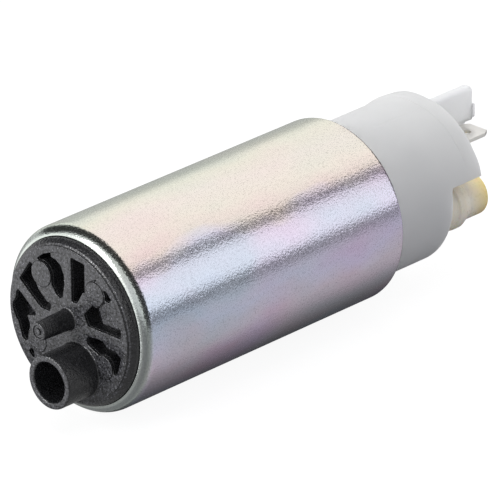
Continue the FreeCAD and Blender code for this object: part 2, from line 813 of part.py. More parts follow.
def magnet_clip(name, angle):
    """Bent steel clip that spreads the two magnets apart."""
    body = new_body(name, magnet_start)
    near = S["clip_inset"]
    far = magnet_length - S["clip_inset"]
    back = seated_radius - S["clip_thickness"]
    leg = seated_radius - S["clip_leg"]
    leg_sweep = S["clip_leg_sweep"]
    spread = half_pitch(1) - S["magnet_sweep"] - leg_sweep / 2
    turned(body, [(back, near), (seated_radius, near), (seated_radius, far), (back, far)], turn=angle,
           sweep=spread)
    for side in (-1, 1):
        turned(body, [(leg, near), (seated_radius, near), (seated_radius, far), (leg, far)],
               turn=angle + side * (spread.number - leg_sweep.number) / 2, sweep=leg_sweep)


def brush_rectangle(sketch, side, clear):
    """The outline of one brush, or of its guide where clear is larger."""
    half = S["brush_width"] / 2 + clear
    low = S["brush_offset"] - S["brush_depth"] / 2 - clear
    high = S["brush_offset"] + S["brush_depth"] / 2 + clear
    if side > 0:
        rectangle(sketch, -half, half, low, high)
    else:
        rectangle(sketch, -half, half, -high, -low)


def outlet_cover():
    """Moulded cover with a low platform, a raised crown and the brush guides inside."""
    body = new_body("outlet_cover", outlet_end)
    seat = cover_seat - outlet_end
    flange = flange_start - outlet_end
    crown = S["crown_height"]
    edge = S["edge_round"]
    turned(body, [(0, flange), (seated_radius, flange), (seated_radius, seat), (neck_radius, seat),
                  (neck_radius, crown - edge), (neck_radius - edge, crown), (0, crown)])
    crown_lead_in(body)
    sketch = across_plane(body, S["platform_height"])
    beyond = S["shell_radius"] + CLEAR
    rectangle(sketch, -beyond, beyond, -beyond, S["crown_cut"])
    sunk(body, sketch, crown)
    cavity = neck_radius - S["neck_wall"]
    turned(body, [(0, flange - CLEAR), (cavity, flange - CLEAR), (cavity, cavity_depth), (0, cavity_depth)],
           cut=True)
    bearing = outlet_bush_start - outlet_end
    turned(body, [(0, bearing), (S["boss_radius"], bearing), (S["boss_radius"], cavity_depth + CLEAR),
                  (0, cavity_depth + CLEAR)])
    brush_guides(body)
    sketch = across_plane(body, bearing)
    circle(sketch, bush_radius + S["fit_gap"])
    sunk(body, sketch, S["bush_length"] + S["fit_gap"])
    relief_boss(body)
    sketch = across_plane(body, cavity_depth - CLEAR, outlet_place)
    circle(sketch, S["spigot_radius"] + S["fit_gap"])
    sunk(body, sketch, S["end_wall"] + CLEAR * 2)
    seal_groove(body, seat)
    terminal_wall(body)
    for side in TERMINALS.values():
        sketch = across_plane(body, S["platform_height"] - S["blade_root"])
        blade_rectangle(sketch, side, S["fit_gap"])
        sunk(body, sketch, crown - S["platform_height"] + S["blade_root"] + CLEAR)


def crown_lead_in(body):
    """Raised band and lead-in taper round the outside of the crown."""
    crown = S["crown_height"]
    inner = neck_radius - S["neck_wall"]
    lead = S["lead_in_start"]
    end = neck_radius - S["lead_in_end"]
    lead_angles = (S["lead_in_low"] + S["lead_in_high"]) / 2
    turned(body, [(inner, lead), (neck_radius + S["lead_in_bulge"], lead), (end, crown), (inner, crown)],
           turn=lead_angles.number, sweep=S["lead_in_high"] - S["lead_in_low"])
    peak = neck_radius + S["band_height"]
    band_angles = (S["lead_in_high"] + S["band_high"]) / 2
    turned(body, [(inner, S["band_start"]), (neck_radius, S["band_start"]), (peak, S["band_peak"]),
                  (peak, crown), (inner, crown)],
           turn=band_angles.number, sweep=S["band_high"] - S["lead_in_high"])


def brush_guides(body):
    """Rectangular guides that let the brushes slide along the axis."""
    start = guide_start - outlet_end
    for side in BRUSH_SIDES.values():
        sketch = across_plane(body, start)
        brush_rectangle(sketch, side, S["slide_gap"] + S["guide_wall"])
        raised(body, sketch, cavity_depth + CLEAR - start)
        sketch = across_plane(body, start)
        brush_rectangle(sketch, side, S["slide_gap"])
        sunk(body, sketch, guide_depth)


def relief_boss(body):
    """Boss on the platform with the relief valve's seat and bore."""
    centre = relief_place
    top = relief_top - outlet_end
    hole = S["relief_hole_radius"]
    seat = cavity_depth + S["relief_seat"]
    bore = S["relief_bore_radius"]
    turned(body, [(0, cavity_depth), (S["relief_boss_radius"], cavity_depth), (S["relief_boss_radius"], top),
                  (0, top)], centre=centre)
    turned(body, [(0, cavity_depth - CLEAR), (hole, cavity_depth - CLEAR), (hole, seat),
                  (bore, seat + bore - hole), (bore, top + CLEAR), (0, top + CLEAR)], centre=centre, cut=True)


def seal_groove(body, seat):
    """Groove for the sealing ring in the cover's flange."""
    half = S["seal_section"] + S["seal_squeeze"]
    floor = inside_radius - S["seal_section"] * 2
    middle = seat - S["seal_back"]
    past = inside_radius + CLEAR
    low = middle - half
    high = middle + half
    turned(body, [(floor, low), (past, low), (past, high), (floor, high)], cut=True)


def terminal_wall(body):
    """Upright wall beside the terminals with its latch bump and foot niche."""
    crown = S["crown_height"]
    left = S["wall_x"] - S["wall_width"] / 2
    right = S["wall_x"] + S["wall_width"] / 2
    tip = crown + S["wall_reach"]
    foot = S["blade_top"] + S["fit_gap"]
    corner = S["wall_corner"]
    sketch = new_sketch(body, "YZ_Plane", (0, 0, left))
    outline(sketch, [(crown - CLEAR, foot), (tip, foot), (tip, S["wall_top"] - corner),
                     (tip - corner, S["wall_top"]), (crown - CLEAR, S["wall_top"])], {2: corner})
    pad = body.newObject("PartDesign::Pad", "Wall")
    pad.Profile = sketch
    bind(pad, "Length", S["wall_width"])
    half = S["bump_height"] / 2
    sketch = across_plane(body, tip - S["bump_depth"])
    rectangle(sketch, left, right, S["bump_z"] - half, S["bump_z"] + half)
    raised(body, sketch, S["bump_depth"] * 2)
    sketch = across_plane(body, tip - S["niche_start"] - S["niche_length"])
    low = foot - S["niche_drop"]
    high = foot + S["niche_height"]
    rectangle(sketch, right - S["niche_depth"], right + CLEAR, low, high)
    sunk(body, sketch, S["niche_length"])


def blade_rectangle(sketch, side, clear):
    """Cross-section of a tab terminal."""
    middle = blade_middle(side)
    half = S["blade_width"] / 2 + clear
    rectangle(sketch, middle - half, middle + half, S["blade_top"] - S["blade_thickness"] - clear,
              S["blade_top"] + clear)


def blade_middle(side):
    """X of a terminal's middle: side 0 is the right one and 1 the left one."""
    return S["blade_x"] - S["blade_spacing"] * side


def terminal(name, side):
    """Tinned tab with a chamfered tip and a latch hole."""
    root_end = nozzle_start - S["blade_root"]
    tip = S["crown_height"] - S["platform_height"] + S["blade_root"] + S["blade_reach"]
    body = new_body(name, root_end, (blade_middle(side), S["blade_top"] - S["blade_thickness"]))
    half = S["blade_width"] / 2
    across = half - S["blade_chamfer_side"]
    shoulder = tip - S["blade_chamfer_end"]
    sketch = new_sketch(body, "XY_Plane")
    outline(sketch, [(-half, 0), (half, 0), (half, shoulder), (across, tip), (-across, tip),
                     (-half, shoulder)])
    circle(sketch, S["blade_hole_radius"], (0, tip - S["blade_hole_back"]))
    pad = body.newObject("PartDesign::Pad", "Blade")
    pad.Profile = sketch
    bind(pad, "Length", S["blade_thickness"])


def brush(name, side):
    """Carbon brush that slides in its guide."""
    body = new_body(name, brush_start)
    sketch = across_plane(body, 0)
    brush_rectangle(sketch, side, as_size(0))
    raised(body, sketch, S["brush_length"])


def brush_cap(name, side):
    """Brass cap that closes the guide and carries the spring."""
    body = new_body(name, guide_end - S["cap_thickness"])
    sketch = across_plane(body, 0)
    brush_rectangle(sketch, side, S["slide_gap"] - S["fit_gap"])
    raised(body, sketch, S["cap_thickness"] - S["fit_gap"])


def outlet_nozzle():
    """Nylon outlet tube with its bead, spigot and valve chamber."""
    body = new_body("outlet_nozzle", nozzle_start, outlet_place)
    edge = S["edge_round"]
    end = S["outlet_reach"]
    floor = S["valve_floor"] - S["end_wall"]
    mouth = end - S["outlet_mouth_depth"]
    turned(body, [
        (S["valve_hole_radius"], -S["end_wall"]),
        (S["spigot_radius"], -S["end_wall"]),
        (S["spigot_radius"], 0),
        (S["outlet_base_radius"], 0),
        (S["outlet_base_radius"], S["bead_start"]),
        (S["bead_radius"], S["bead_start"]),
        (S["bead_radius"], S["bead_front"]),
        (S["outlet_radius"], S["bead_end"]),
        (S["outlet_radius"], end - edge),
        (S["outlet_radius"] - edge, end),
        (S["outlet_mouth_radius"], end),
        (S["outlet_mouth_radius"], mouth),
        (S["outlet_bore_radius"], mouth),
        (S["outlet_bore_radius"], floor),
        (S["valve_hole_radius"], floor),
    ])


def check_poppet():
    """Mushroom poppet that closes the outlet when the pump stops."""
    body = new_body("check_poppet", poppet_start, outlet_place)
    radius = S["poppet_radius"]
    thickness = S["poppet_thickness"]
    stem = S["stem_radius"]
    length = thickness + check_spring_length + S["retainer_thickness"] / 2
    turned(body, [(0, 0), (radius, 0), (radius, thickness), (stem, thickness), (stem, length), (0, length)])


def check_retainer():
    """Open spider that guides the poppet's stem."""
    body = new_body("check_retainer", retainer_start, outlet_place)
    outer = S["outlet_bore_radius"] - S["fit_gap"]
    stem = S["stem_radius"] + S["slide_gap"]
    thickness = S["retainer_thickness"]
    turned(body, [(stem, 0), (outer, 0), (outer, thickness), (stem, thickness)])
    sketch = across_plane(body, 0)
    half = S["retainer_window"] / 2
    rectangle(sketch, stem + half, outer - half, -half, half)
    repeated(body, sunk(body, sketch, thickness), S["retainer_windows"])


def relief_ball():
    """Ball of the relief valve, turned from short runs."""
    body = new_body("relief_ball", ball_along, relief_place)
    radius = S["ball_radius"]
    turns = [math.radians(180 * step / BALL_RUNS - 90) for step in range(BALL_RUNS + 1)]
    inner = [(radius * math.cos(turn), radius * math.sin(turn)) for turn in turns[1:-1]]
    turned(body, [(0, -radius), *inner, (0, radius)])


def relief_retainer():
    """Pressed plug with a vent hole, which holds the relief spring."""
    body = new_body("relief_retainer", relief_top - S["retainer_thickness"], relief_place)
    outer = S["relief_bore_radius"] - S["fit_gap"]
    vent = S["relief_vent_radius"]
    thickness = S["retainer_thickness"]
    turned(body, [(vent, 0), (outer, 0), (outer, thickness), (vent, thickness)])


def cover_seal():
    """Square-cut rubber ring between the outlet cover and the housing."""
    body = new_body("cover_seal", cover_seat - S["seal_back"])
    half = S["seal_section"] - S["seal_squeeze"] / 2
    outer = inside_radius - S["seal_squeeze"] / 2
    inner = outer - half * 2
    turned(body, [(inner, -half), (outer, -half), (outer, half), (inner, half)])


housing_shell()
inlet_cover()
thrust_button()
impeller()
pump_casing()
rotor_shaft()
bush("inlet_bush", inlet_bush_start)
bush("outlet_bush", outlet_bush_start)
armature_core()
armature_windings()
commutator_hub()
commutator_bars()
magnet("magnet_upper", 90)
magnet("magnet_lower", 270)
for clip_side, clip_angle in CLIP_SIDES.items():
    magnet_clip(f"magnet_clip_{clip_side}", clip_angle)
outlet_cover()
cover_seal()
for terminal_name, terminal_side in TERMINALS.items():
    terminal(terminal_name, terminal_side)
for brush_name, brush_side in BRUSH_SIDES.items():
    brush(f"brush_{brush_name}", brush_side)
    brush_cap(f"brush_cap_{brush_name}", brush_side)
    coil_spring(f"brush_spring_{brush_name}", S["brush_spring_radius"], S["spring_wire"],
                guide_end - S["cap_thickness"] - brush_back, S["brush_spring_turns"], brush_back,
                (0, S["brush_offset"] * brush_side))
outlet_nozzle()
check_poppet()
check_retainer()
coil_spring("check_spring", S["check_spring_radius"], S["spring_wire"], check_spring_length,
            S["check_spring_turns"], check_spring_start, outlet_place)
relief_ball()
relief_retainer()
coil_spring("relief_spring", S["relief_spring_radius"], S["spring_wire"], relief_spring_length,
            S["relief_spring_turns"], relief_spring_start, relief_place)
doc.recompute()

for item in doc.Objects:
    if "Invalid" in item.State or "Error" in item.State:
        raise SystemExit(f"{item.Name} ({item.Label}) did not build: {item.State}")
for part in parts:
    if part.Shape.isNull() or not part.Shape.isValid():
        raise SystemExit(f"{part.Label} has no valid shape")

os.makedirs("parts", exist_ok=True)
for part in parts:
    part.Shape.exportStep(f"parts/{part.Label}.step")
    print(part.Label, len(part.Shape.Solids), round(part.Shape.Volume, 2))
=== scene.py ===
# Electric fuel pump: finishes, fine shapes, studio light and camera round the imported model.
# The pump is drawn in millimetres about its axis Y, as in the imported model, and the studio in metres.
# A corner of an outline may carry a third number, the radius that rounds it.
import math

import bmesh
import bpy
from mathutils import Matrix, Vector

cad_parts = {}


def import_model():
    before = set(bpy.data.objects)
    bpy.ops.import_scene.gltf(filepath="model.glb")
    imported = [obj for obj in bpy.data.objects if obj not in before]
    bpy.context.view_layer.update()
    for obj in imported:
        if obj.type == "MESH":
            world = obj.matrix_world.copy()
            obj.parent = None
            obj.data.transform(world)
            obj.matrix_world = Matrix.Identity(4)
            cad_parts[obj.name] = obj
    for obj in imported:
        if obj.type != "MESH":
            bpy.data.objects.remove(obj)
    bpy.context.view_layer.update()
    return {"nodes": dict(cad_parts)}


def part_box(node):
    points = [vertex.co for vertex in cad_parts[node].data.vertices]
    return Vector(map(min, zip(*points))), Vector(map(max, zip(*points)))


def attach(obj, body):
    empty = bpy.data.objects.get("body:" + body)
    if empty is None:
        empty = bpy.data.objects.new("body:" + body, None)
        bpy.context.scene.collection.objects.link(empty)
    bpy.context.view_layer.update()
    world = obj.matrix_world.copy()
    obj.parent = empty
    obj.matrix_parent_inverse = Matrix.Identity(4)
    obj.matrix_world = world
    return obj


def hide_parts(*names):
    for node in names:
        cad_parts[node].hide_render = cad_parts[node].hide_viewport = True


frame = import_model()
scene = bpy.context.scene

MM = 0.001
ROOT = "pump_body"
# Materials by the names of the record's slots
FINISHES = {}


def box_mm(node):
    """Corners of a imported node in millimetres."""
    low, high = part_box(node)
    return low / MM, high / MM


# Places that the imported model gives
shell_low, shell_high = box_mm("housing_shell")
INLET_END = shell_low.y
OUTLET_END = shell_high.y
SHELL_LOW = shell_low.z
SHELL_RADIUS = round(shell_high.x, 3)
TUBE_END = box_mm("inlet_cover")[0].y
WALL_END = box_mm("outlet_cover")[1].y
NOZZLE_END = box_mm("outlet_nozzle")[1].y
BLADE_TOP = box_mm("terminal_positive")[1].z

# Radius at which both covers sit in the housing, and how far pieces of one moulding run into each other
SEATED_RADIUS = 17.9
LAP = 0.1
# How far below its face the foot of a tube, pin or boss ends
FOOT_STEP = 0.02

# Inlet cover: its face along the axis, the backs of its face, feet and pockets, and its radii
FACE = TUBE_END + 8.0
FACE_BACK = FACE + 0.6
FOOT_BACK = FACE + 1.0
POCKET_BACK = FACE + 3.6
FACE_RADIUS = 15.85
SHOULDER_RADIUS = 16.95
POCKET_CORNER = 0.25

# Suction tube and locating pin on that face, with their places as (across, up)
TUBE_PLACE = (2.68, -8.59)
TUBE_RADIUS = 5.48
TUBE_BORE = 4.05
PIN_PLACE = (-0.25, 1.05)

# White cover: its places along the axis
FLANGE_START = OUTLET_END - 11.02
GROOVE_START = FLANGE_START + 3.05
GROOVE_END = FLANGE_START + 4.95
CAVITY_END = OUTLET_END + 13.75
PLATFORM = OUTLET_END + 17.35
LEAD_IN = OUTLET_END + 22.15
CROWN_TOP = OUTLET_END + 26.2

# White cover: its radii, the height at which the crown is cut flat, and its rounded edge
NECK_RADIUS = 16.38
CAVITY_RADIUS = 14.58
GROOVE_RADIUS = 16.3
CROWN_CUT = 3.7
CROWN_EDGE = 0.5

# The platform's two holes, with their places as (across, up) and their radii
OUTLET_PLACE = (9.94, -3.03)
OUTLET_HOLE = 4.32
RELIEF_PLACE = (-10.4, -4.6)
RELIEF_HOLE = 1.88

# Steps round the crown, the neck and the crown's flat side, along the neck and round an edge
CROWN_STEPS = 300
NECK_STEPS = 120
FLAT_STEPS = 8
NECK_RINGS = 46
EDGE_STEPS = 5

# Sides of a turned piece and of a drilled hole, and the angle in degrees from which an edge stays sharp
AROUND = 192
DRILL_SIDES = 96
SHARP = 32
# The largest share of a side that a rounded corner takes
CORNER_SHARE = 0.49
# Radius in millimetres that counts as the axis, and distance in metres at which vertices are one
ON_AXIS = 1e-6
SAME_PLACE = 1e-7


# Mesh helpers

def finish_mesh(name, mesh, slot, nodes):
    """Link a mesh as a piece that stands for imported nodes."""
    mesh.shade_smooth()
    mesh.set_sharp_from_angle(angle=math.radians(SHARP))
    piece = bpy.data.objects.new(name, mesh)
    scene.collection.objects.link(piece)
    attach(piece, ROOT)
    mesh.materials.clear()
    mesh.materials.append(FINISHES[slot])
    if nodes:
        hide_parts(*nodes)
    return piece


def corner_arc(before, corner, after, radius, steps):
    """Points of a fillet at one corner of an outline."""
    back = (before - corner).normalized()
    ahead = (after - corner).normalized()
    half = back.angle(ahead) / 2
    reach = min(radius / math.tan(half), (before - corner).length * CORNER_SHARE,
                (after - corner).length * CORNER_SHARE)
    size = reach * math.tan(half)
    centre = corner + (back + ahead).normalized() * (size / math.sin(half))
    start = corner + back * reach - centre
    end = corner + ahead * reach - centre
    turn = start.angle(end)
    points = []
    for step in range(steps + 1):
        share = step / steps
        weight = (math.sin((1 - share) * turn), math.sin(share * turn))
        points.append(centre + (start * weight[0] + end * weight[1]) / math.sin(turn))
    return points


def softened(corners, closed, steps):
    """Outline through corners given as (a, b) or (a, b, radius)."""
    places = [Vector((corner[0], corner[1])) for corner in corners]
    count = len(corners)
    points = []
    for index, corner in enumerate(corners):
        inner = closed or 0 < index < count - 1
        if len(corner) > 2 and inner:
            before = places[index - 1]
            after = places[(index + 1) % count]
            points += corner_arc(before, places[index], after, corner[2], steps)
        else:
            points.append(places[index])
    return points


def circle_points(radius, centre=(0, 0), count=AROUND):
    """Points of a circle as (across, up)."""
    return [(centre[0] + radius * math.cos(2 * math.pi * step / count),
             centre[1] + radius * math.sin(2 * math.pi * step / count)) for step in range(count)]


def arc_points(centre, radius, start, end, steps):
    """Points on an arc between two angles in degrees."""
    return [(centre[0] + radius * math.cos(math.radians(start + (end - start) * step / steps)),
             centre[1] + radius * math.sin(math.radians(start + (end - start) * step / steps)))
            for step in range(steps + 1)]


def rectangle(left, right, low, high):
    """Corners of a rectangle as (across, up)."""
    return [(left, low), (right, low), (right, high), (left, high)]


def recalculate(mesh):
    """Merge doubled vertices and point every face outwards."""
    shape = bmesh.new()
    shape.from_mesh(mesh)
    bmesh.ops.remove_doubles(shape, verts=shape.verts, dist=SAME_PLACE)
    bmesh.ops.recalc_face_normals(shape, faces=shape.faces)
    shape.to_mesh(mesh)
    shape.free()


def mesh_of(name, vertices, faces):
    """A clean mesh in metres from vertices in millimetres."""
    mesh = bpy.data.meshes.new(name)
    mesh.from_pydata([Vector(vertex) * MM for vertex in vertices], [], faces)
    recalculate(mesh)
    return mesh


def lathe(name, corners, slot, nodes=(), centre=(0, 0), closed=False, around=AROUND, steps=5):
    """Turn an outline of (radius, along) about a line parallel to the pump axis."""
    vertices = []
    rings = []
    for point in softened(corners, closed, steps):
        if point.x < ON_AXIS:
            rings.append([len(vertices)])
            vertices.append((centre[0], point.y, centre[1]))
            continue
        rings.append(list(range(len(vertices), len(vertices) + around)))
        for across, up in circle_points(point.x, centre, around):
            vertices.append((across, point.y, up))
    faces = []
    pairs = list(zip(rings, rings[1:]))
    if closed:
        pairs.append((rings[-1], rings[0]))
    for lower, upper in pairs:
        for step in range(around):
            after = (step + 1) % around
            if len(lower) == 1:
                faces.append((lower[0], upper[after], upper[step]))
            elif len(upper) == 1:
                faces.append((lower[step], lower[after], upper[0]))
            else:
                faces.append((lower[step], lower[after], upper[after], upper[step]))
    return finish_mesh(name, mesh_of(name, vertices, faces), slot, nodes)


def plate(name, outlines, near, far, slot, edge, nodes=(), plane="XZ", rounds=2):
    """Extrude closed outlines of (across, up), where inner outlines cut holes, with a small bevel.

    The plane XZ runs from near to far along the pump axis, XY along Z and YZ along X.
    """
    curve = bpy.data.curves.new(name, "CURVE")
    curve.dimensions = "2D"
    curve.fill_mode = "BOTH"
    for points in outlines:
        spline = curve.splines.new("POLY")
        spline.points.add(len(points) - 1)
        for point, place in zip(spline.points, points):
            point.co = (place[0], place[1], 0, 1)
        spline.use_cyclic_u = True
    curve.extrude = (far - near) / 2 - edge
    curve.bevel_depth = edge
    curve.offset = -edge
    curve.bevel_resolution = rounds
    flat = bpy.data.objects.new(name + "_outline", curve)
    mesh = bpy.data.meshes.new_from_object(flat)
    bpy.data.objects.remove(flat)
    middle = (near + far) / 2
    for vertex in mesh.vertices:
        across, up, along = vertex.co
        if plane == "XZ":
            vertex.co = Vector((across, middle + along, up)) * MM
        elif plane == "XY":
            vertex.co = Vector((across, up, middle + along)) * MM
        else:
            vertex.co = Vector((middle + along, across, up)) * MM
    recalculate(mesh)
    return finish_mesh(name, mesh, slot, nodes)


def drilled(mesh, holes, near, far):
    """Cut round holes of (across, up, radius) into a closed mesh between two places along the axis."""
    solid = bpy.data.objects.new("solid", mesh)
    scene.collection.objects.link(solid)
    turn = Matrix.Rotation(math.pi / 2, 4, "X")
    for across, up, radius in holes:
        shape = bmesh.new()
        place = Matrix.Translation(Vector((across, (near + far) / 2, up)) * MM) @ turn
        bmesh.ops.create_cone(shape, cap_ends=True, segments=DRILL_SIDES, radius1=radius * MM,
                              radius2=radius * MM, depth=(far - near) * MM, matrix=place)
        drill = bpy.data.objects.new("drill", bpy.data.meshes.new("drill"))
        shape.to_mesh(drill.data)
        shape.free()
        scene.collection.objects.link(drill)
        cut = solid.modifiers.new("cut", "BOOLEAN")
        cut.operation = "DIFFERENCE"
        cut.solver = "EXACT"
        cut.object = drill
        bpy.context.view_layer.update()
        made = bpy.data.meshes.new_from_object(solid.evaluated_get(bpy.context.evaluated_depsgraph_get()))
        solid.modifiers.clear()
        solid.data = made
        bpy.data.objects.remove(drill)
    bpy.data.objects.remove(solid)
    made.set_sharp_from_angle(angle=math.radians(SHARP))
    return made


def bridged(rows):
    """Faces between closed rows of vertices of the same length."""
    faces = []
    for lower, upper in zip(rows, rows[1:]):
        for number in range(len(lower)):
            after = (number + 1) % len(lower)
            faces.append((lower[number], lower[after], upper[after], upper[number]))
    return faces


def numbered(vertices, row):
    """Add a row of points to the vertices and return their numbers."""
    start = len(vertices)
    vertices.extend(row)
    return list(range(start, len(vertices)))


def smooth_step(value, low, high):
    """A soft step from 0 at low to 1 at high."""
    share = min(max((value - low) / (high - low), 0), 1)
    return share * share * (3 - 2 * share)


def rise_and_fall(value, rise, fall):
    """A soft step up between two values and down again between two more."""
    return smooth_step(value, *rise) * (1 - smooth_step(value, *fall))


# Finishes

class Finish:
    """A material on a principled shader, with short calls that add nodes to it."""

    def __init__(self, name, colour, roughness, metallic=0.0):
        self.material = bpy.data.materials.new(name)
        self.material.use_nodes = True
        self.tree = self.material.node_tree
        self.shader = self.tree.nodes["Principled BSDF"]
        self.set("Base Color", (*colour, 1))
        self.set("Roughness", roughness)
        self.set("Metallic", metallic)
        coordinates = self.node("ShaderNodeTexCoord")
        self.place = coordinates.outputs["Object"]
        self.direction = coordinates.outputs["Normal"]
        FINISHES[name] = self.material

    def node(self, kind, **settings):
        """Add a node with the given settings."""
        made = self.tree.nodes.new(kind)
        for setting, value in settings.items():
            setattr(made, setting, value)
        return made

    def set(self, socket, value):
        """Set a shader input to one value everywhere."""
        self.shader.inputs[socket].default_value = value

    def feed(self, target, source):
        """Give an input socket a number, a colour or another node's output."""
        if isinstance(source, bpy.types.NodeSocket):
            self.tree.links.new(source, target)
        else:
            target.default_value = source

    def use(self, socket, source):
        """Give a shader input another node's output."""
        self.feed(self.shader.inputs[socket], source)

    def noise(self, scale, detail=2.0, stretch=(1, 1, 1), offset=0.0):
        """Noise from 0 to 1 over the piece; offset picks another pattern of the same kind."""
        mapping = self.node("ShaderNodeMapping")
        self.feed(mapping.inputs["Vector"], self.place)
        mapping.inputs["Scale"].default_value = stretch
        texture = self.node("ShaderNodeTexNoise", noise_dimensions="4D")
        self.feed(texture.inputs["Vector"], mapping.outputs[0])
        texture.inputs["W"].default_value = offset
        texture.inputs["Scale"].default_value = scale
        texture.inputs["Detail"].default_value = detail
        return texture.outputs["Fac"]

    def combine(self, operation, first, second):
        """Sum, difference or product of two values."""
        made = self.node("ShaderNodeMath", operation=operation)
        self.feed(made.inputs[0], first)
        self.feed(made.inputs[1], second)
        return made.outputs[0]

    def coordinate(self, vector, axis):
        """One coordinate of a vector."""
        made = self.node("ShaderNodeSeparateXYZ")
        self.feed(made.inputs[0], vector)
        return made.outputs[axis]

    def along(self, start, end):
        """A value from 0 to 1 between two places in millimetres along the pump axis."""
        made = self.node("ShaderNodeMapRange")
        self.feed(made.inputs["Value"], self.coordinate(self.place, "Y"))
        made.inputs["From Min"].default_value = start * MM
        made.inputs["From Max"].default_value = end * MM
        return made.outputs[0]

    def towards_inlet(self):
        """1 where the surface faces the inlet end, 0 where it faces sideways and less where it faces away."""
        return self.combine("MULTIPLY", self.coordinate(self.direction, "Y"), -1.0)

    def ramp(self, value, stops):
        """Colours or greys along a value; stops are (place, colour)."""
        made = self.node("ShaderNodeValToRGB")
        elements = made.color_ramp.elements
        while len(elements) < len(stops):
            elements.new(0.5)
        for element, (place, colour) in zip(elements, stops):
            element.position = place
            if isinstance(colour, (int, float)):
                colour = (colour, colour, colour)
            element.color = (*colour, 1)
        self.feed(made.inputs["Fac"], value)
        return made.outputs["Color"]

    def mix(self, factor, first, second, blend="MIX"):
        """Blend two colours or outputs by a factor."""
        made = self.node("ShaderNodeMix", data_type="RGBA", blend_type=blend)
        self.feed(made.inputs["Factor"], factor)
        for socket, source in ((made.inputs["A"], first), (made.inputs["B"], second)):
            self.feed(socket, (*source, 1) if isinstance(source, tuple) else source)
        return made.outputs["Result"]

    def bump(self, height, distance, strength=1.0):
        """Fine relief of a height that is given in metres."""
        made = self.node("ShaderNodeBump")
        made.inputs["Strength"].default_value = strength
        made.inputs["Distance"].default_value = distance
        self.feed(made.inputs["Height"], height)
        self.use("Normal", made.outputs[0])

    def translucent(self, weight, radius, scale):
        """Let light pass under the surface, with a reach in metres."""
        self.set("Subsurface Weight", weight)
        self.set("Subsurface Radius", radius)
        self.set("Subsurface Scale", scale)


def grained(name, colour, roughness, metallic=0.0, scale=2500, spread=0.12, stretch=(1, 1, 1)):
    """A plain finish whose colour, roughness and surface vary with a fine grain."""
    finish = Finish(name, colour, roughness, metallic)
    grain = finish.noise(scale, detail=3, stretch=stretch)
    broad = finish.noise(180, offset=3)
    dark = tuple(channel * (1 - spread) for channel in colour)
    light = tuple(min(channel * (1 + spread), 1) for channel in colour)
    tone = finish.mix(grain, dark, light)
    finish.use("Base Color", finish.mix(finish.combine("MULTIPLY", broad, 0.5), tone, dark))
    smoothest = max(roughness - 0.07, 0.05)
    finish.use("Roughness", finish.ramp(grain, [(0.3, smoothest), (0.7, roughness + 0.07)]))
    finish.bump(grain, 0.00001, strength=0.6)


def plated_steel():
    """Zinc plating under an iridescent passivated film: satin, cream above and lilac at the side.

    That colour follows a direction across the axis that leans down by an angle, and drifts a little; it is
    partly the film's own tint and partly painted reflection and shade, lighter above and darker past the top.
    The rolled lip at the inlet end carries a painted dark reflection band and a painted highlight ring.
    """
    steel = Finish("plated_steel", (0.86, 0.82, 0.8), 0.2, 1.0)
    lean = math.radians(20)
    radius = SHELL_RADIUS * MM
    across = steel.combine("MULTIPLY", steel.coordinate(steel.place, "X"), math.cos(lean) / radius)
    up = steel.combine("MULTIPLY", steel.coordinate(steel.place, "Z"), -math.sin(lean) / radius)
    side = steel.combine("MULTIPLY", steel.combine("ADD", across, up), 0.5)
    waves = steel.noise(60, detail=3, stretch=(1, 0.6, 1))
    drift = steel.combine("MULTIPLY", steel.combine("SUBTRACT", waves, 0.5), 0.35)
    side_on = steel.combine("ADD", steel.combine("ADD", side, 0.5), drift)
    # Painted reflection and shade in the film's tint: cream and lightest above, greenish grey past the top,
    # lilac at the side
    film_and_painted_reflection = steel.ramp(side_on, [
        (0.0, (0.74, 0.74, 0.66)), (0.20, (0.76, 0.78, 0.68)), (0.31, (0.87, 0.83, 0.71)),
        (0.45, (0.93, 0.84, 0.775)), (0.59, (0.92, 0.84, 0.75)), (0.69, (0.90, 0.78, 0.72)),
        (0.75, (0.86, 0.76, 0.91)), (0.85, (0.85, 0.80, 0.96)), (0.94, (0.80, 0.79, 1.0)),
        (1.0, (0.80, 0.69, 0.81)),
    ])
    patches = steel.ramp(steel.noise(75, stretch=(1, 0.5, 1), offset=11), [
        (0.32, (1.0, 0.86, 0.95)), (0.47, (1.0, 1.0, 1.0)), (0.62, (0.87, 1.0, 0.97)),
    ])
    strong = steel.ramp(side_on, [(0.45, 0.3), (0.8, 1.0)])
    film_and_painted_reflection = steel.mix(strong, film_and_painted_reflection, steel.mix(1.0, film_and_painted_reflection, patches, "MULTIPLY"))
    # Painted reflection on the rolled lip, by how far it faces the inlet end: a dark band, then a bright
    # highlight ring
    tilt = steel.towards_inlet()
    painted_lip_reflection = steel.ramp(tilt, [
        (0.5, (0.74, 0.82, 0.75)), (0.72, (0.44, 0.48, 0.46)), (0.86, (0.5, 0.54, 0.52)),
        (0.91, (0.8, 0.86, 0.81)),
    ])
    film_and_painted_reflection = steel.mix(steel.ramp(tilt, [(0.2, 0.0), (0.6, 0.9)]), film_and_painted_reflection, painted_lip_reflection)
    speck = steel.ramp(steel.noise(4200, offset=5), [(0.34, 0.74), (0.48, 1.0)])
    steel.use("Base Color", steel.mix(1.0, film_and_painted_reflection, speck, "MULTIPLY"))
    fine = steel.noise(2600, detail=1)
    scratch = steel.noise(1500, stretch=(1, 0.1, 1), offset=8)
    steel.use("Roughness", steel.ramp(fine, [(0.3, 0.16), (0.7, 0.26)]))
    steel.bump(steel.combine("ADD", fine, steel.combine("MULTIPLY", scratch, 0.25)), 0.000045)


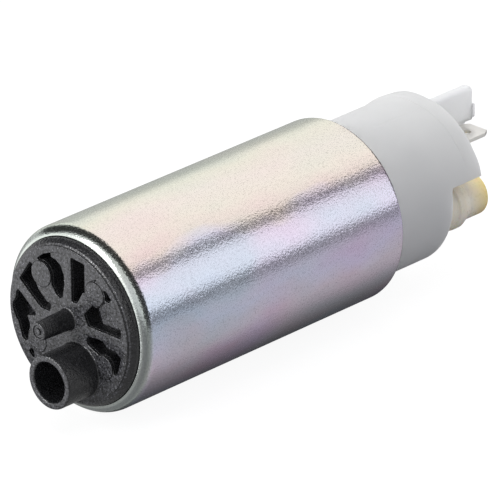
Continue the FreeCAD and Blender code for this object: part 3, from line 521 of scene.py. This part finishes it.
def black_plastic():
    """Glass-filled black moulding with pale flecks and a fine grain on the face at the inlet end.

    The face is painted lighter than the sides, as painted front light, with painted shade on the sides.
    """
    plastic = Finish("black_plastic", (0.02, 0.02, 0.022), 0.42)
    plastic.set("Specular IOR Level", 0.8)
    dots = plastic.node("ShaderNodeTexVoronoi")
    plastic.feed(dots.inputs["Vector"], plastic.place)
    dots.inputs["Scale"].default_value = 1900
    near = plastic.ramp(dots.outputs["Distance"], [(0.12, 1.0), (0.34, 0.0)])
    some = plastic.ramp(plastic.noise(1500, offset=9), [(0.42, 0.0), (0.58, 1.0)])
    face = plastic.ramp(plastic.towards_inlet(), [(0.6, 0.12), (0.92, 1.0)])
    fleck = plastic.combine("MULTIPLY", plastic.combine("MULTIPLY", near, some), face)
    grain = plastic.ramp(plastic.noise(2300, offset=2), [(0.38, 0.0), (0.64, 1.0)])
    # Painted light: the face towards the inlet end gets a lighter grained tone, the sides a darker one as
    # painted shade
    painted_lit_face_tone = plastic.mix(grain, (0.004, 0.004, 0.005), (0.10, 0.10, 0.11))
    tone = plastic.mix(face, (0.012, 0.012, 0.013), painted_lit_face_tone)
    plastic.use("Base Color", plastic.mix(plastic.combine("MULTIPLY", fleck, 0.6), tone, (0.5, 0.5, 0.54)))
    plastic.use("Roughness", plastic.ramp(plastic.noise(2600, detail=3, offset=4), [(0.3, 0.18), (0.7, 0.4)]))
    plastic.bump(plastic.noise(1900, offset=6), 0.0002, strength=0.9)


def white_plastic():
    """Natural moulded plastic, slightly cloudy and translucent, with painted light on the terminal wall.

    Everything past the crown's top is painted paler, for light that shines through the thin wall.
    """
    plastic = Finish("white_plastic", (0.72, 0.72, 0.71), 0.42)
    cloud = plastic.ramp(plastic.noise(70, detail=3), [
        (0.3, (0.72, 0.72, 0.71)), (0.7, (0.76, 0.755, 0.745)),
    ])
    # Painted light: the wall past the crown's top is paler, standing in for light that shines through it
    painted_wall_light = plastic.along(CROWN_TOP - 0.3, CROWN_TOP + 0.2)
    plastic.use("Base Color", plastic.mix(painted_wall_light, cloud, (0.89, 0.89, 0.88)))
    plastic.translucent(0.8, (1.0, 1.0, 1.0), 0.004)
    plastic.use("Roughness", plastic.ramp(plastic.noise(900, detail=3, offset=2), [(0.3, 0.38), (0.7, 0.5)]))
    plastic.bump(plastic.noise(1800, detail=3, offset=4), 0.00001, strength=0.35)


def amber_nylon():
    """Natural nylon, pale beige with deeper amber in the last 5 mm of the tube."""
    nylon = Finish("amber_nylon", (0.80, 0.70, 0.50), 0.3)
    tip = nylon.along(NOZZLE_END - 5, NOZZLE_END)
    amount = nylon.combine("MULTIPLY", tip, nylon.ramp(nylon.noise(120), [(0.3, 0.8), (0.7, 1.0)]))
    nylon.use("Base Color", nylon.mix(amount, (0.93, 0.85, 0.72), (0.95, 0.73, 0.22)))
    nylon.translucent(0.6, (1.0, 0.8, 0.5), 0.0006)
    nylon.use("Roughness", nylon.ramp(nylon.noise(1500, offset=3), [(0.3, 0.24), (0.7, 0.36)]))


def finishes():
    """Every finish of the record's material slots."""
    plated_steel()
    black_plastic()
    white_plastic()
    amber_nylon()
    grained("tinned_brass", (0.93, 0.91, 0.87), 0.4, 0.7, scale=1800, spread=0.05, stretch=(1, 0.15, 1))
    grained("ground_steel", (0.62, 0.62, 0.63), 0.22, 1.0, stretch=(0.2, 1, 0.2))
    grained("core_steel", (0.33, 0.33, 0.34), 0.45, 1.0, scale=900, stretch=(0.02, 4, 0.02))
    grained("copper", (0.72, 0.35, 0.2), 0.34, 1.0, stretch=(1, 0.1, 1))
    grained("ferrite", (0.045, 0.045, 0.05), 0.6)
    grained("spring_steel", (0.55, 0.55, 0.56), 0.28, 1.0)
    grained("sintered_bronze", (0.5, 0.34, 0.18), 0.5, 1.0, scale=4000, spread=0.3)
    grained("brass", (0.75, 0.58, 0.28), 0.32, 1.0)
    grained("carbon", (0.03, 0.03, 0.032), 0.5)
    grained("pump_resin", (0.06, 0.055, 0.05), 0.45)
    grained("valve_plastic", (0.6, 0.6, 0.58), 0.45)
    grained("seal_rubber", (0.02, 0.02, 0.02), 0.7)


finishes()

for node_object in frame["nodes"].values():
    for material_slot in node_object.material_slots:
        material_slot.material = FINISHES[material_slot.material.name]


# Steel housing

def housing():
    """Steel tube with rolled ends, and a ring near each end that keeps its long sides straight in shading."""
    near = INLET_END
    far = OUTLET_END
    wall = 1.0
    inside = SHELL_RADIUS - wall
    near_opening = 17.06
    far_opening = 16.68
    near_roll = 2.6
    far_roll = 0.8
    inner_roll = 1.4
    near_inside = near + 1.6
    near_ring = near + 6
    far_ring = far - 3
    middle = SHELL_RADIUS - near_roll
    lip_turn = math.acos((near_opening - SHELL_RADIUS + near_roll) / near_roll)
    steps = 20
    turns = [lip_turn * (1 - step / steps) for step in range(steps + 1)]
    outer = [(middle + near_roll * math.cos(turn), near + near_roll * (1 - math.sin(turn))) for turn in turns]
    corners = [
        (near_opening, near + wall), (near_opening, outer[0][1], 0.1), *outer[1:],
        (SHELL_RADIUS, far_ring), (SHELL_RADIUS, far, far_roll), (far_opening, far, 0.15),
        (far_opening, far - wall), (inside, far - wall),
        (inside, near_ring), (inside, near_inside, inner_roll),
    ]
    lathe("housing", corners, "plated_steel", ["housing_shell"], closed=True, around=256, steps=10)


# Inlet cover

# Round pads on the cover's face as (across, up, radius)
PAD_LEFT = (-7.1, 8.4, 2.6)
PAD_TOP = (7.2, 8.7, 2.4)
PAD_RIGHT = (9.4, -5.9, 2.4)
PAD_LOW = (-8.4, -6.0, 2.4)

# Deep slots of the inlet cover as (across, up), drawn round its round pads
DEEP_SLOTS = [
    [(5.0, -1.25), (5.5, -0.75), (8.5, -0.7), (9.75, -1.75), (10.5, -2.0), (12.0, -1.9), (13.9, -3.0),
     (13.5, -4.5), (12.9, -6.4), (12.1, -6.6), *arc_points(PAD_RIGHT, 2.55, 5, 95, 6), (8.0, -3.7),
     (5.0, -2.4)],
    [(4.25, 3.5), (6.6, 6.1), (7.75, 5.75), (8.9, 2.9), (14.1, 3.0), (14.0, 1.5), (5.25, 1.4)],
    [*arc_points(PAD_TOP, 2.7, -12, 32, 4), (10.2, 10.1), (11.5, 8.9), (11.0, 8.1)],
    [(0.9, 14.25), (4.0, 13.95), (4.0, 8.1), (2.4, 5.25), (1.0, 5.1)],
    [(-8.4, 11.25), (-6.5, 12.75), (-5.1, 13.4), (-5.0, 12.4), (-3.75, 12.25), (-2.5, 11.5), (-1.6, 9.75),
     (-1.4, 8.25), (-0.9, 7.75), (-1.5, 5.25), (-2.25, 4.9), (-3.25, 5.4), (-4.4, 7.0),
     *arc_points(PAD_LEFT, 2.75, -10, 100, 8)],
    [(-10.25, 9.9), (-9.4, 9.6), *arc_points(PAD_LEFT, 2.75, 172, 232, 5), (-8.0, 4.9), (-5.75, 3.0),
     (-4.5, 2.75), (-5.0, 1.25), (-7.25, 1.25), (-8.5, 2.0), (-13.1, 5.5)],
    [(-13.5, 3.0), (-12.9, 2.75), (-8.75, -0.5), (-9.1, -1.0), (-11.25, -1.5), (-10.5, -3.25),
     (-10.5, -4.0), (-10.9, -5.0), (-11.1, -6.75), (-11.75, -7.25), (-12.6, -6.6), (-13.6, -3.75),
     (-14.25, -3.0), (-15.1, -1.25), (-15.0, 0), (-14.25, 0.9), (-14.0, 2.5)],
    [(-10.9, -9.1), (-10.1, -8.25), (-9.6, -8.5), (-9.25, -9.75), (-9.75, -10.1)],
]
# The same slots with the shallow steps beside them
FACE_SLOTS = [
    [(5.0, -1.25), (5.5, -0.75), (8.4, -0.5), (13.7, -0.5), (14.1, -1.9), (13.9, -3.0), (13.5, -4.5),
     (12.9, -6.4), (12.1, -6.6), *arc_points(PAD_RIGHT, 2.55, 5, 95, 6), (8.0, -3.7), (5.0, -2.4)],
    [(4.25, 3.5), (6.6, 6.1), (7.9, 5.85), *arc_points(PAD_TOP, 2.55, -72, -18, 4), (12.7, 7.2), (14.1, 3.6),
     (14.0, 1.5), (5.25, 1.4)],
    DEEP_SLOTS[2],
    [(0.9, 14.25), (4.0, 13.95), (6.6, 13.0), (7.8, 12.2), *arc_points(PAD_TOP, 2.65, 85, 192, 8), (4.0, 8.0),
     (2.4, 5.25), (1.0, 5.1)],
    [(-8.4, 11.25), (-6.5, 12.75), (-3.8, 13.9), (-1.2, 14.3), (-1.0, 8.0), (-1.5, 5.25), (-2.25, 4.9),
     (-3.25, 5.4), (-4.4, 7.0), *arc_points(PAD_LEFT, 2.75, -10, 100, 8)],
    DEEP_SLOTS[5],
    DEEP_SLOTS[6],
    DEEP_SLOTS[7],
]


def smoothed(points):
    """A closed outline with every corner rounded alike."""
    return softened([(*point, POCKET_CORNER) for point in points], closed=True, steps=3)


def inlet_face():
    """Slotted face on two levels, with its pads a little proud of it and the grooves round them."""
    pads = [PAD_LEFT, PAD_TOP, PAD_RIGHT, PAD_LOW]
    proud = 0.12
    groove_width = 0.11
    groove_depth = 0.2
    front = plate("inlet_face", [circle_points(FACE_RADIUS)] + [smoothed(slot) for slot in FACE_SLOTS],
                  FACE, FACE_BACK, "black_plastic", edge=0.2)
    grooves = [(across, up, radius + groove_width) for across, up, radius in pads]
    front.data = drilled(front.data, grooves, FACE - 1, FACE + groove_depth)
    plate("inlet_floor", [circle_points(FACE_RADIUS - 0.15)] + [smoothed(slot) for slot in DEEP_SLOTS],
          FACE_BACK - 0.05, POCKET_BACK + LAP, "black_plastic", edge=0.08)
    for number, (across, up, radius) in enumerate(pads):
        lathe(f"inlet_pad_{number + 1}", [
            (0, FACE - proud), (radius, FACE - proud, proud), (radius, POCKET_BACK), (0, POCKET_BACK),
        ], "black_plastic", centre=(across, up), around=64)


def suction_tube():
    """Suction tube with its rounded mouth, and the floor at the end of its bore."""
    foot = 6.3
    root = 5.0
    floor_radius = 4.5
    depth = TUBE_END + 15
    floor_top = depth - 0.4
    lathe("inlet_tube", [
        (TUBE_BORE, depth), (TUBE_BORE, TUBE_END, 0.5), (TUBE_RADIUS, TUBE_END, 0.45),
        (TUBE_RADIUS, FACE, 0.5), (foot, FACE + FOOT_STEP, 0.1), (foot, FOOT_BACK), (root, depth),
    ], "black_plastic", centre=TUBE_PLACE, closed=True, around=128)
    lathe("inlet_tube_floor", [
        (0, floor_top), (floor_radius, floor_top, 0.1), (floor_radius, depth), (0, depth),
    ], "black_plastic", centre=TUBE_PLACE, around=64)


def locating_pin():
    """Tapered pin with a dot and a ring-shaped groove in its tip."""
    dot = 0.55
    dot_top = TUBE_END + 0.12
    groove_inside = 0.7
    groove_outside = 1.2
    groove_floor = TUBE_END + 0.5
    groove_top = TUBE_END + 0.16
    groove_slope = 0.15
    tip = 1.85
    tip_end = TUBE_END + 0.3
    root = 2.12
    foot = 2.9
    lathe("inlet_pin", [
        (0, dot_top), (dot, dot_top, 0.2), (groove_inside, groove_floor, 0.1),
        (groove_outside, groove_floor, 0.15), (groove_outside + groove_slope, groove_top, 0.1),
        (tip, tip_end, 0.4), (root, FACE, 0.45),
        (foot, FACE + FOOT_STEP, 0.1), (foot, FOOT_BACK), (0, FOOT_BACK),
    ], "black_plastic", centre=PIN_PLACE, around=96)


def inlet_cover():
    """Black moulded cover: rim, slotted face, suction tube and pin."""
    recess = 15.5
    ledge = FACE + 0.4
    slope = 16.2
    slope_start = FACE + 0.55
    shoulder = FACE + 1.5
    cone_start = INLET_END + 1.2
    cone_end = INLET_END + 2.8
    back = INLET_END + 8
    lathe("inlet_rim", [
        (0, POCKET_BACK), (recess, POCKET_BACK), (recess, ledge), (FACE_RADIUS, ledge, 0.05),
        (slope, slope_start, 0.3), (SHOULDER_RADIUS, shoulder, 0.7), (SHOULDER_RADIUS, cone_start),
        (SEATED_RADIUS, cone_end), (SEATED_RADIUS, back), (0, back),
    ], "black_plastic", ["inlet_cover"])
    inlet_face()
    suction_tube()
    locating_pin()


# White cover

def crown_radius(along, angle):
    """Outer radius of the white cover's crown at a distance along it and an angle in degrees.

    A band is raised from the crown, a shallow groove marks the start of its lead-in taper, and a mould
    seam runs along it up to that groove.
    """
    band_rise = (80, 112)
    band_fall = (138, 150)
    band_height = 0.5
    band_start = OUTLET_END + 19.0
    band_full = OUTLET_END + 23.4
    lead_rise = (20, 34)
    lead_fall = (146, 160)
    taper = 0.25
    taper_length = 4
    groove_depth = 0.1
    groove_half = 0.2
    seam_angle = 78
    seam_depth = 0.045
    seam_half = 0.7
    seam_start = OUTLET_END + 1
    seam_full = OUTLET_END + 12
    radius = NECK_RADIUS
    band = rise_and_fall(angle, band_rise, band_fall)
    radius += band * band_height * smooth_step(along, band_start, band_full)
    lead = rise_and_fall(angle, lead_rise, lead_fall)
    radius -= lead * taper * smooth_step(along, LEAD_IN, LEAD_IN + taper_length)
    radius -= lead * groove_depth * math.exp(-((along - LEAD_IN) / groove_half) ** 2)
    seam = math.exp(-((angle - seam_angle) / seam_half) ** 2)
    seam *= 1 - smooth_step(along, LEAD_IN - groove_half, LEAD_IN + groove_half)
    return radius - seam_depth * seam * smooth_step(along, seam_start, seam_full)


def crown_row(along, inset=0):
    """Points round the crown from one end of the cut plane to the other, drawn in by an inset."""
    low = math.degrees(math.asin((CROWN_CUT + inset) / (NECK_RADIUS - inset)))
    row = []
    for step in range(CROWN_STEPS + 1):
        angle = low + (180 - 2 * low) * step / CROWN_STEPS
        reach = crown_radius(along, angle) - inset
        row.append((reach * math.cos(math.radians(angle)), along, reach * math.sin(math.radians(angle))))
    return row


def neck_row(along, size, inset=0, drop=0):
    """Points round the neck below the cut plane, whose inset and drop fade out towards the crown."""
    low = math.degrees(math.asin(CROWN_CUT / NECK_RADIUS))
    row = []
    for step in range(1, NECK_STEPS):
        angle = 180 - low + (180 + 2 * low) * step / NECK_STEPS
        fade = smooth_step(min(step, NECK_STEPS - step), 0, 3)
        reach = size - inset * fade
        row.append((reach * math.cos(math.radians(angle)), along - drop * fade,
                    reach * math.sin(math.radians(angle))))
    return row


def flat_row(row, inset=0):
    """Points along the crown's flat side, which close a row of the crown."""
    left = row[-1][0]
    right = row[0][0]
    return [(left + (right - left) * step / FLAT_STEPS, row[0][1], CROWN_CUT + inset)
            for step in range(1, FLAT_STEPS)]


def neck_rows(vertices):
    """Rows from the end of the cavity out round the flange and up the neck to the platform's edge."""
    seat_end = OUTLET_END - 1.02
    start = OUTLET_END - 1.0
    end = PLATFORM - CROWN_EDGE
    inside = [
        (CAVITY_END, CAVITY_RADIUS), (FLANGE_START, CAVITY_RADIUS), (FLANGE_START, SEATED_RADIUS),
        (GROOVE_START, SEATED_RADIUS), (GROOVE_START, GROOVE_RADIUS), (GROOVE_END, GROOVE_RADIUS),
        (GROOVE_END, SEATED_RADIUS), (seat_end, SEATED_RADIUS),
    ]
    rows = []
    for along, size in inside:
        scale = size / NECK_RADIUS
        upper = [(x * scale, along, z * scale) for x, _, z in crown_row(OUTLET_END)]
        rows.append(numbered(vertices, upper + neck_row(along, size)))
    for step in range(NECK_RINGS + 1):
        along = start + (end - start) * step / NECK_RINGS
        rows.append(numbered(vertices, crown_row(along) + neck_row(along, NECK_RADIUS)))
    for step in range(1, EDGE_STEPS + 1):
        turn = math.pi / 2 * step / EDGE_STEPS
        along = end + CROWN_EDGE * step / EDGE_STEPS
        inset = CROWN_EDGE * (1 - math.cos(turn))
        drop = along - (end + CROWN_EDGE * math.sin(turn))
        rows.append(numbered(vertices, crown_row(along) + neck_row(along, NECK_RADIUS, inset, drop)))
    return rows


def crown_stations():
    """Places along the crown as (along, inset), close together at the lead-in groove and the edge."""
    coarse = 0.4
    fine = 0.06
    edge = CROWN_TOP - CROWN_EDGE
    places = [PLATFORM + coarse * step for step in range(1, 24)]
    places += [LEAD_IN + fine * step for step in range(-7, 8)]
    stations = [(along, 0) for along in sorted(places) if along < edge - 0.1]
    for step in range(EDGE_STEPS + 1):
        turn = math.pi / 2 * step / EDGE_STEPS
        stations.append((edge + CROWN_EDGE * math.sin(turn), CROWN_EDGE * (1 - math.cos(turn))))
    return stations


def outlet_body():
    """White body as one mesh: a round neck up to the platform, then the raised crown above the cut plane."""
    vertices = []
    rows = neck_rows(vertices)
    faces = [tuple(rows[0]), *bridged(rows)]
    rim = rows[-1]
    shelf = numbered(vertices, flat_row(crown_row(PLATFORM)))
    faces.append((rim[0], *reversed(shelf), *rim[CROWN_STEPS:]))
    crown_rows = [rim[:CROWN_STEPS + 1] + shelf]
    for along, inset in crown_stations():
        row = crown_row(along, inset)
        crown_rows.append(numbered(vertices, row + flat_row(row, inset)))
    faces += bridged(crown_rows)
    faces.append(tuple(crown_rows[-1]))
    holes = [(*OUTLET_PLACE, OUTLET_HOLE), (*RELIEF_PLACE, RELIEF_HOLE)]
    mesh = drilled(mesh_of("outlet_body", vertices, faces), holes, CAVITY_END - 1, PLATFORM + 1)
    finish_mesh("outlet_body", mesh, "white_plastic", ["outlet_cover"])


def outlet_inside():
    """Bearing boss and brush guides inside the white cover."""
    end = CAVITY_END + LAP
    bore = 3.32
    boss = 4.6
    boss_start = FLANGE_START - 0.98
    bore_end = FLANGE_START + 5.04
    lathe("outlet_bearing", [
        (0, bore_end), (bore, bore_end), (bore, boss_start, 0.2),
        (boss, boss_start, 0.2), (boss, end), (0, end),
    ], "white_plastic", around=96)
    guide_start = FLANGE_START + 1.12
    half = 2.9
    low = 5.0
    high = 9.0
    wall = 0.9
    for name, side in (("outlet_guide_upper", 1), ("outlet_guide_lower", -1)):
        outer = rectangle(-half - wall, half + wall, side * (low - wall), side * (high + wall))
        inner = rectangle(-half, half, side * low, side * high)
        plate(name, [outer, inner], guide_start, end, "white_plastic", edge=0.08)


def relief_boss():
    """Open boss of the relief valve on the platform."""
    bore = RELIEF_HOLE + 0.02
    radius = 3.1
    foot = 3.6
    top = PLATFORM + 3.4
    root = PLATFORM - 1.0
    lathe("relief_boss", [
        (bore, root), (bore, top, 0.2), (radius, top, 0.35), (radius, PLATFORM, 0.3),
        (foot, PLATFORM - FOOT_STEP), (foot, root),
    ], "white_plastic", centre=RELIEF_PLACE, closed=True, around=96)


def terminal_wall():
    """Upright wall beside the blades, with its foot, its rib and its latch bump."""
    root = CROWN_TOP - 1
    bump_depth = 0.6
    bump_low = 7.95
    bump_high = 11.05
    bump_slope = 0.15
    tip = WALL_END - bump_depth
    left = -0.4
    right = 2.0
    head = 15.06
    under = BLADE_TOP + 1.2
    low = BLADE_TOP + 0.02
    high = BLADE_TOP + 1.4
    foot_end = tip - 5.6
    rib_end = tip - 0.2
    rib_side = left + 0.4
    wall = softened([(root, under), (tip, under, 0.3), (tip, head, 1.3), (root, head)], closed=True, steps=6)
    plate("terminal_wall", [wall], left, right, "white_plastic", edge=0.9, plane="YZ", rounds=6)
    plate("terminal_foot", [rectangle(root, foot_end, low, high)], left, right - 0.05, "white_plastic",
          edge=0.1, plane="YZ")
    plate("terminal_rib", [rectangle(root, rib_end, low, high)], left, rib_side, "white_plastic",
          edge=0.1, plane="YZ")
    bump = softened([
        (tip - bump_depth, bump_low, 0.2), (tip + bump_depth, bump_low + bump_slope, 0.3),
        (tip + bump_depth, bump_high - bump_slope, 0.3), (tip - bump_depth, bump_high, 0.2),
    ], closed=True, steps=4)
    plate("terminal_bump", [bump], left, right, "white_plastic", edge=0.3, plane="YZ")


def outlet_cover():
    """White moulded cover: body with its inside, relief boss and terminal wall."""
    outlet_body()
    outlet_inside()
    relief_boss()
    terminal_wall()


# Terminals and outlet tube

def blade(name, node):
    """Tinned tab with a chamfered tip and a latch hole."""
    low, high = box_mm(node)
    middle = (low.x + high.x) / 2
    shoulder = high.y - 1.4
    chamfer = 0.8
    rounded = 0.2
    latch_radius = 0.95
    latch_place = (middle, high.y - 3.6)
    corners = [
        (low.x, low.y), (high.x, low.y), (high.x, shoulder, rounded), (high.x - chamfer, high.y, rounded),
        (low.x + chamfer, high.y, rounded), (low.x, shoulder, rounded),
    ]
    hole = circle_points(latch_radius, latch_place, 48)
    plate(name, [softened(corners, closed=True, steps=3), hole], low.z, high.z, "tinned_brass", edge=0.09,
          nodes=[node], plane="XY")


def outlet_nozzle():
    """Amber tube with its bead."""
    spigot = 4.3
    spigot_start = PLATFORM - 3
    collar = 5.0
    collar_start = PLATFORM - 0.5
    collar_end = PLATFORM + 3.3
    bead = 5.35
    bead_start = PLATFORM + 3.6
    bead_end = PLATFORM + 5.1
    tube = 4.5
    tube_start = PLATFORM + 7.2
    bore = 3.4
    chamber = 3.2
    chamber_end = NOZZLE_END - 6
    lathe("outlet_tube", [
        (chamber, spigot_start), (chamber, chamber_end), (bore, chamber_end), (bore, NOZZLE_END, 0.25),
        (tube, NOZZLE_END, 0.5), (tube, tube_start, 0.3), (bead, bead_end, 0.35), (bead, bead_start, 0.15),
        (collar, collar_end, 0.15), (collar, collar_start), (spigot, collar_start), (spigot, spigot_start),
    ], "amber_nylon", ["outlet_nozzle"], centre=OUTLET_PLACE, closed=True, around=128)


housing()
inlet_cover()
outlet_cover()
blade("tab_positive", "terminal_positive")
blade("tab_negative", "terminal_negative")
outlet_nozzle()

# Studio

scene.view_settings.view_transform = "Standard"


def background_rays(tree):
    """A value of 1 for the rays that see the background: camera, glossy and transmission."""
    path = tree.nodes.new("ShaderNodeLightPath")
    total = path.outputs["Is Camera Ray"]
    for kind in ("Is Glossy Ray", "Is Transmission Ray"):
        either = tree.nodes.new("ShaderNodeMath")
        either.operation = "MAXIMUM"
        tree.links.new(total, either.inputs[0])
        tree.links.new(path.outputs[kind], either.inputs[1])
        total = either.outputs[0]
    return total


def seen_and_lit(tree, seen, lit, output):
    """Show one shader to the rays that see the background and another to the rest."""
    mix = tree.nodes.new("ShaderNodeMixShader")
    tree.links.new(background_rays(tree), mix.inputs["Fac"])
    tree.links.new(lit.outputs[0], mix.inputs[1])
    tree.links.new(seen.outputs[0], mix.inputs[2])
    tree.links.new(mix.outputs[0], output.inputs["Surface"])


def world():
    """Soft sky light, white where the camera and the reflections see it."""
    sky = bpy.data.worlds.new("studio")
    sky.use_nodes = True
    scene.world = sky
    tree = sky.node_tree
    soft = tree.nodes["Background"]
    soft.inputs["Color"].default_value = (0.93, 0.95, 1, 1)
    soft.inputs["Strength"].default_value = 0.45
    white = tree.nodes.new("ShaderNodeBackground")
    white.inputs["Color"].default_value = (1, 1, 1, 1)
    white.inputs["Strength"].default_value = 1
    seen_and_lit(tree, white, soft, tree.nodes["World Output"])


def sheet(name, vertices, faces, place=(0, 0, 0)):
    """A thin piece of the studio and the node tree of its material, without a shader."""
    mesh = bpy.data.meshes.new(name)
    mesh.from_pydata(vertices, [], faces)
    piece = bpy.data.objects.new(name, mesh)
    piece.location = place
    scene.collection.objects.link(piece)
    material = bpy.data.materials.new(name)
    material.use_nodes = True
    tree = material.node_tree
    tree.nodes.remove(tree.nodes["Principled BSDF"])
    mesh.materials.append(material)
    return piece, tree


def floor():
    """Pale floor just under the pump, which keeps its shadow."""
    size = 1.5
    height = (SHELL_LOW - 0.05) * MM
    corners = [(-size, -size, height), (size, -size, height), (size, size, height), (-size, size, height)]
    ground, tree = sheet("floor", corners, [(0, 1, 2, 3)])
    plain = tree.nodes.new("ShaderNodeBsdfDiffuse")
    plain.inputs["Color"].default_value = (0.45, 0.45, 0.47, 1)
    faint = tree.nodes.new("ShaderNodeBsdfDiffuse")
    faint.inputs["Color"].default_value = (0.16, 0.16, 0.16, 1)
    glow = tree.nodes.new("ShaderNodeEmission")
    glow.inputs["Strength"].default_value = 0.92
    both = tree.nodes.new("ShaderNodeAddShader")
    tree.links.new(faint.outputs[0], both.inputs[0])
    tree.links.new(glow.outputs[0], both.inputs[1])
    seen_and_lit(tree, both, plain, tree.nodes["Material Output"])


def graded(tree, near, far, low, high):
    """Brightness that goes from low to high between two distances from the card's middle line."""
    place = tree.nodes.new("ShaderNodeTexCoord")
    split = tree.nodes.new("ShaderNodeSeparateXYZ")
    distance = tree.nodes.new("ShaderNodeMath")
    distance.operation = "ABSOLUTE"
    grade = tree.nodes.new("ShaderNodeMapRange")
    grade.interpolation_type = "SMOOTHSTEP"
    for socket, value in zip(("From Min", "From Max", "To Min", "To Max"), (near, far, low, high)):
        grade.inputs[socket].default_value = value
    tree.links.new(place.outputs["Object"], split.inputs[0])
    tree.links.new(split.outputs["X"], distance.inputs[0])
    tree.links.new(distance.outputs[0], grade.inputs["Value"])
    return grade.outputs[0]


def card(name, vertices, faces, strength, place=(0, 0, 0)):
    """A sheet that only reflections see, with one brightness or the four numbers of a graded one."""
    piece, tree = sheet(name, vertices, faces, place)
    glow = tree.nodes.new("ShaderNodeEmission")
    if isinstance(strength, tuple):
        tree.links.new(graded(tree, *strength), glow.inputs["Strength"])
    else:
        glow.inputs["Strength"].default_value = strength
    tree.links.new(glow.outputs[0], tree.nodes["Material Output"].inputs["Surface"])
    piece.visible_camera = False
    piece.visible_diffuse = False
    piece.visible_shadow = False
    piece.visible_transmission = False
    piece.visible_volume_scatter = False


def flag(name, start, end, near, far, strength):
    """Curved card about the pump axis, between two angles in degrees and two places along the axis."""
    radius = 0.3
    steps = 24
    vertices = []
    for step in range(steps + 1):
        angle = math.radians(start + (end - start) * step / steps)
        for along in (near, far):
            vertices.append((radius * math.cos(angle), along, radius * math.sin(angle)))
    faces = [(2 * step, 2 * step + 1, 2 * step + 3, 2 * step + 2) for step in range(steps)]
    card(name, vertices, faces, strength)


def end_card(half, far, strength):
    """Square card across the pump axis past the outlet end."""
    corners = [(-half, far, -half), (half, far, -half), (half, far, half), (-half, far, half)]
    card("end_card", corners, [(0, 1, 2, 3)], strength)


def floor_card(name, left, right, near, far, strength, middle=0):
    """Card just above the floor, whose middle line may lie beside the pump axis."""
    height = (SHELL_LOW - 0.04) * MM
    corners = [(left - middle, near, 0), (right - middle, near, 0), (right - middle, far, 0),
               (left - middle, far, 0)]
    card(name, corners, [(0, 1, 2, 3)], strength, (middle, 0, height))


def lamp(name, place, target, size, power, mirrored=False):
    """Rectangular soft lamp that faces a target; reflections show it only if it is mirrored."""
    light = bpy.data.lights.new(name, "AREA")
    light.shape = "RECTANGLE"
    light.size, light.size_y = size
    light.energy = power
    holder = bpy.data.objects.new(name, light)
    scene.collection.objects.link(holder)
    holder.visible_camera = False
    holder.visible_glossy = mirrored
    holder.location = place
    holder.rotation_euler = (Vector(target) - Vector(place)).to_track_quat("-Z", "Y").to_euler()


def camera():
    """Camera of the photograph, placed from its fitted angles and distance."""
    turn = math.radians(43.668)
    rise = math.radians(24.684)
    distance = 1200
    aside = 33.142
    above = 13.574
    forward = Vector((-math.sin(turn) * math.cos(rise), math.cos(turn) * math.cos(rise), -math.sin(rise)))
    right = Vector((math.cos(turn), math.sin(turn), 0))
    up = right.cross(forward)
    place = -forward * distance + right * aside + up * above + Vector((0, INLET_END, 0))
    data = bpy.data.cameras.new("camera")
    data.sensor_width = 36
    data.lens = 454.03
    data.clip_start = 0.05
    data.clip_end = 20
    eye = bpy.data.objects.new("camera", data)
    scene.collection.objects.link(eye)
    eye.location = place * MM
    eye.rotation_mode = "QUATERNION"
    eye.rotation_quaternion = forward.to_track_quat("-Z", "Y")
    scene.camera = eye


world()
floor()
# Floor cards seen only in reflections: painted shadow of the pump on the floor, darkest close beside it, and
# a darker floor in front of the inlet end as painted shade
floor_card("side_floor_card", left=-0.6, right=0.6, near=-0.034, far=0.6, strength=(0.038, 0.062, 0.06, 0.5),
           middle=-0.03)
floor_card("front_floor_card", left=0.012, right=0.8, near=-0.8, far=-0.034, strength=0.3)
floor_card("lip_card", left=-0.04, right=0.012, near=-0.056, far=-0.034, strength=0.3)
flag("camera_flag", start=-3, end=172, near=-0.225, far=0.045, strength=0.04)
flag("side_flag", start=-3, end=9.3, near=0.07, far=0.7, strength=0.18)
flag("top_flag", start=49, end=59, near=0.07, far=0.7, strength=0.08)
flag("left_flag", start=162, end=179, near=0.07, far=0.7, strength=0.54)
end_card(half=0.42, far=0.7, strength=0.03)
lamp("top_light", place=(-0.1, 0, 0.7), target=(0, 0, 0), size=(0.5, 0.9), power=3)
lamp("back_light", place=(-0.45, 0.35, 0.03), target=(0, 0.07, 0.01), size=(0.3, 0.1), power=0.4)
lamp("end_light", place=(0.025, 0.115, 0.015), target=(0.002, 0.068, 0.01), size=(0.02, 0.02), power=0.0095)
lamp("front_light", place=(-0.3, -0.8, 0.35), target=(0, 0, 0), size=(0.3, 0.3), power=3, mirrored=True)
camera()
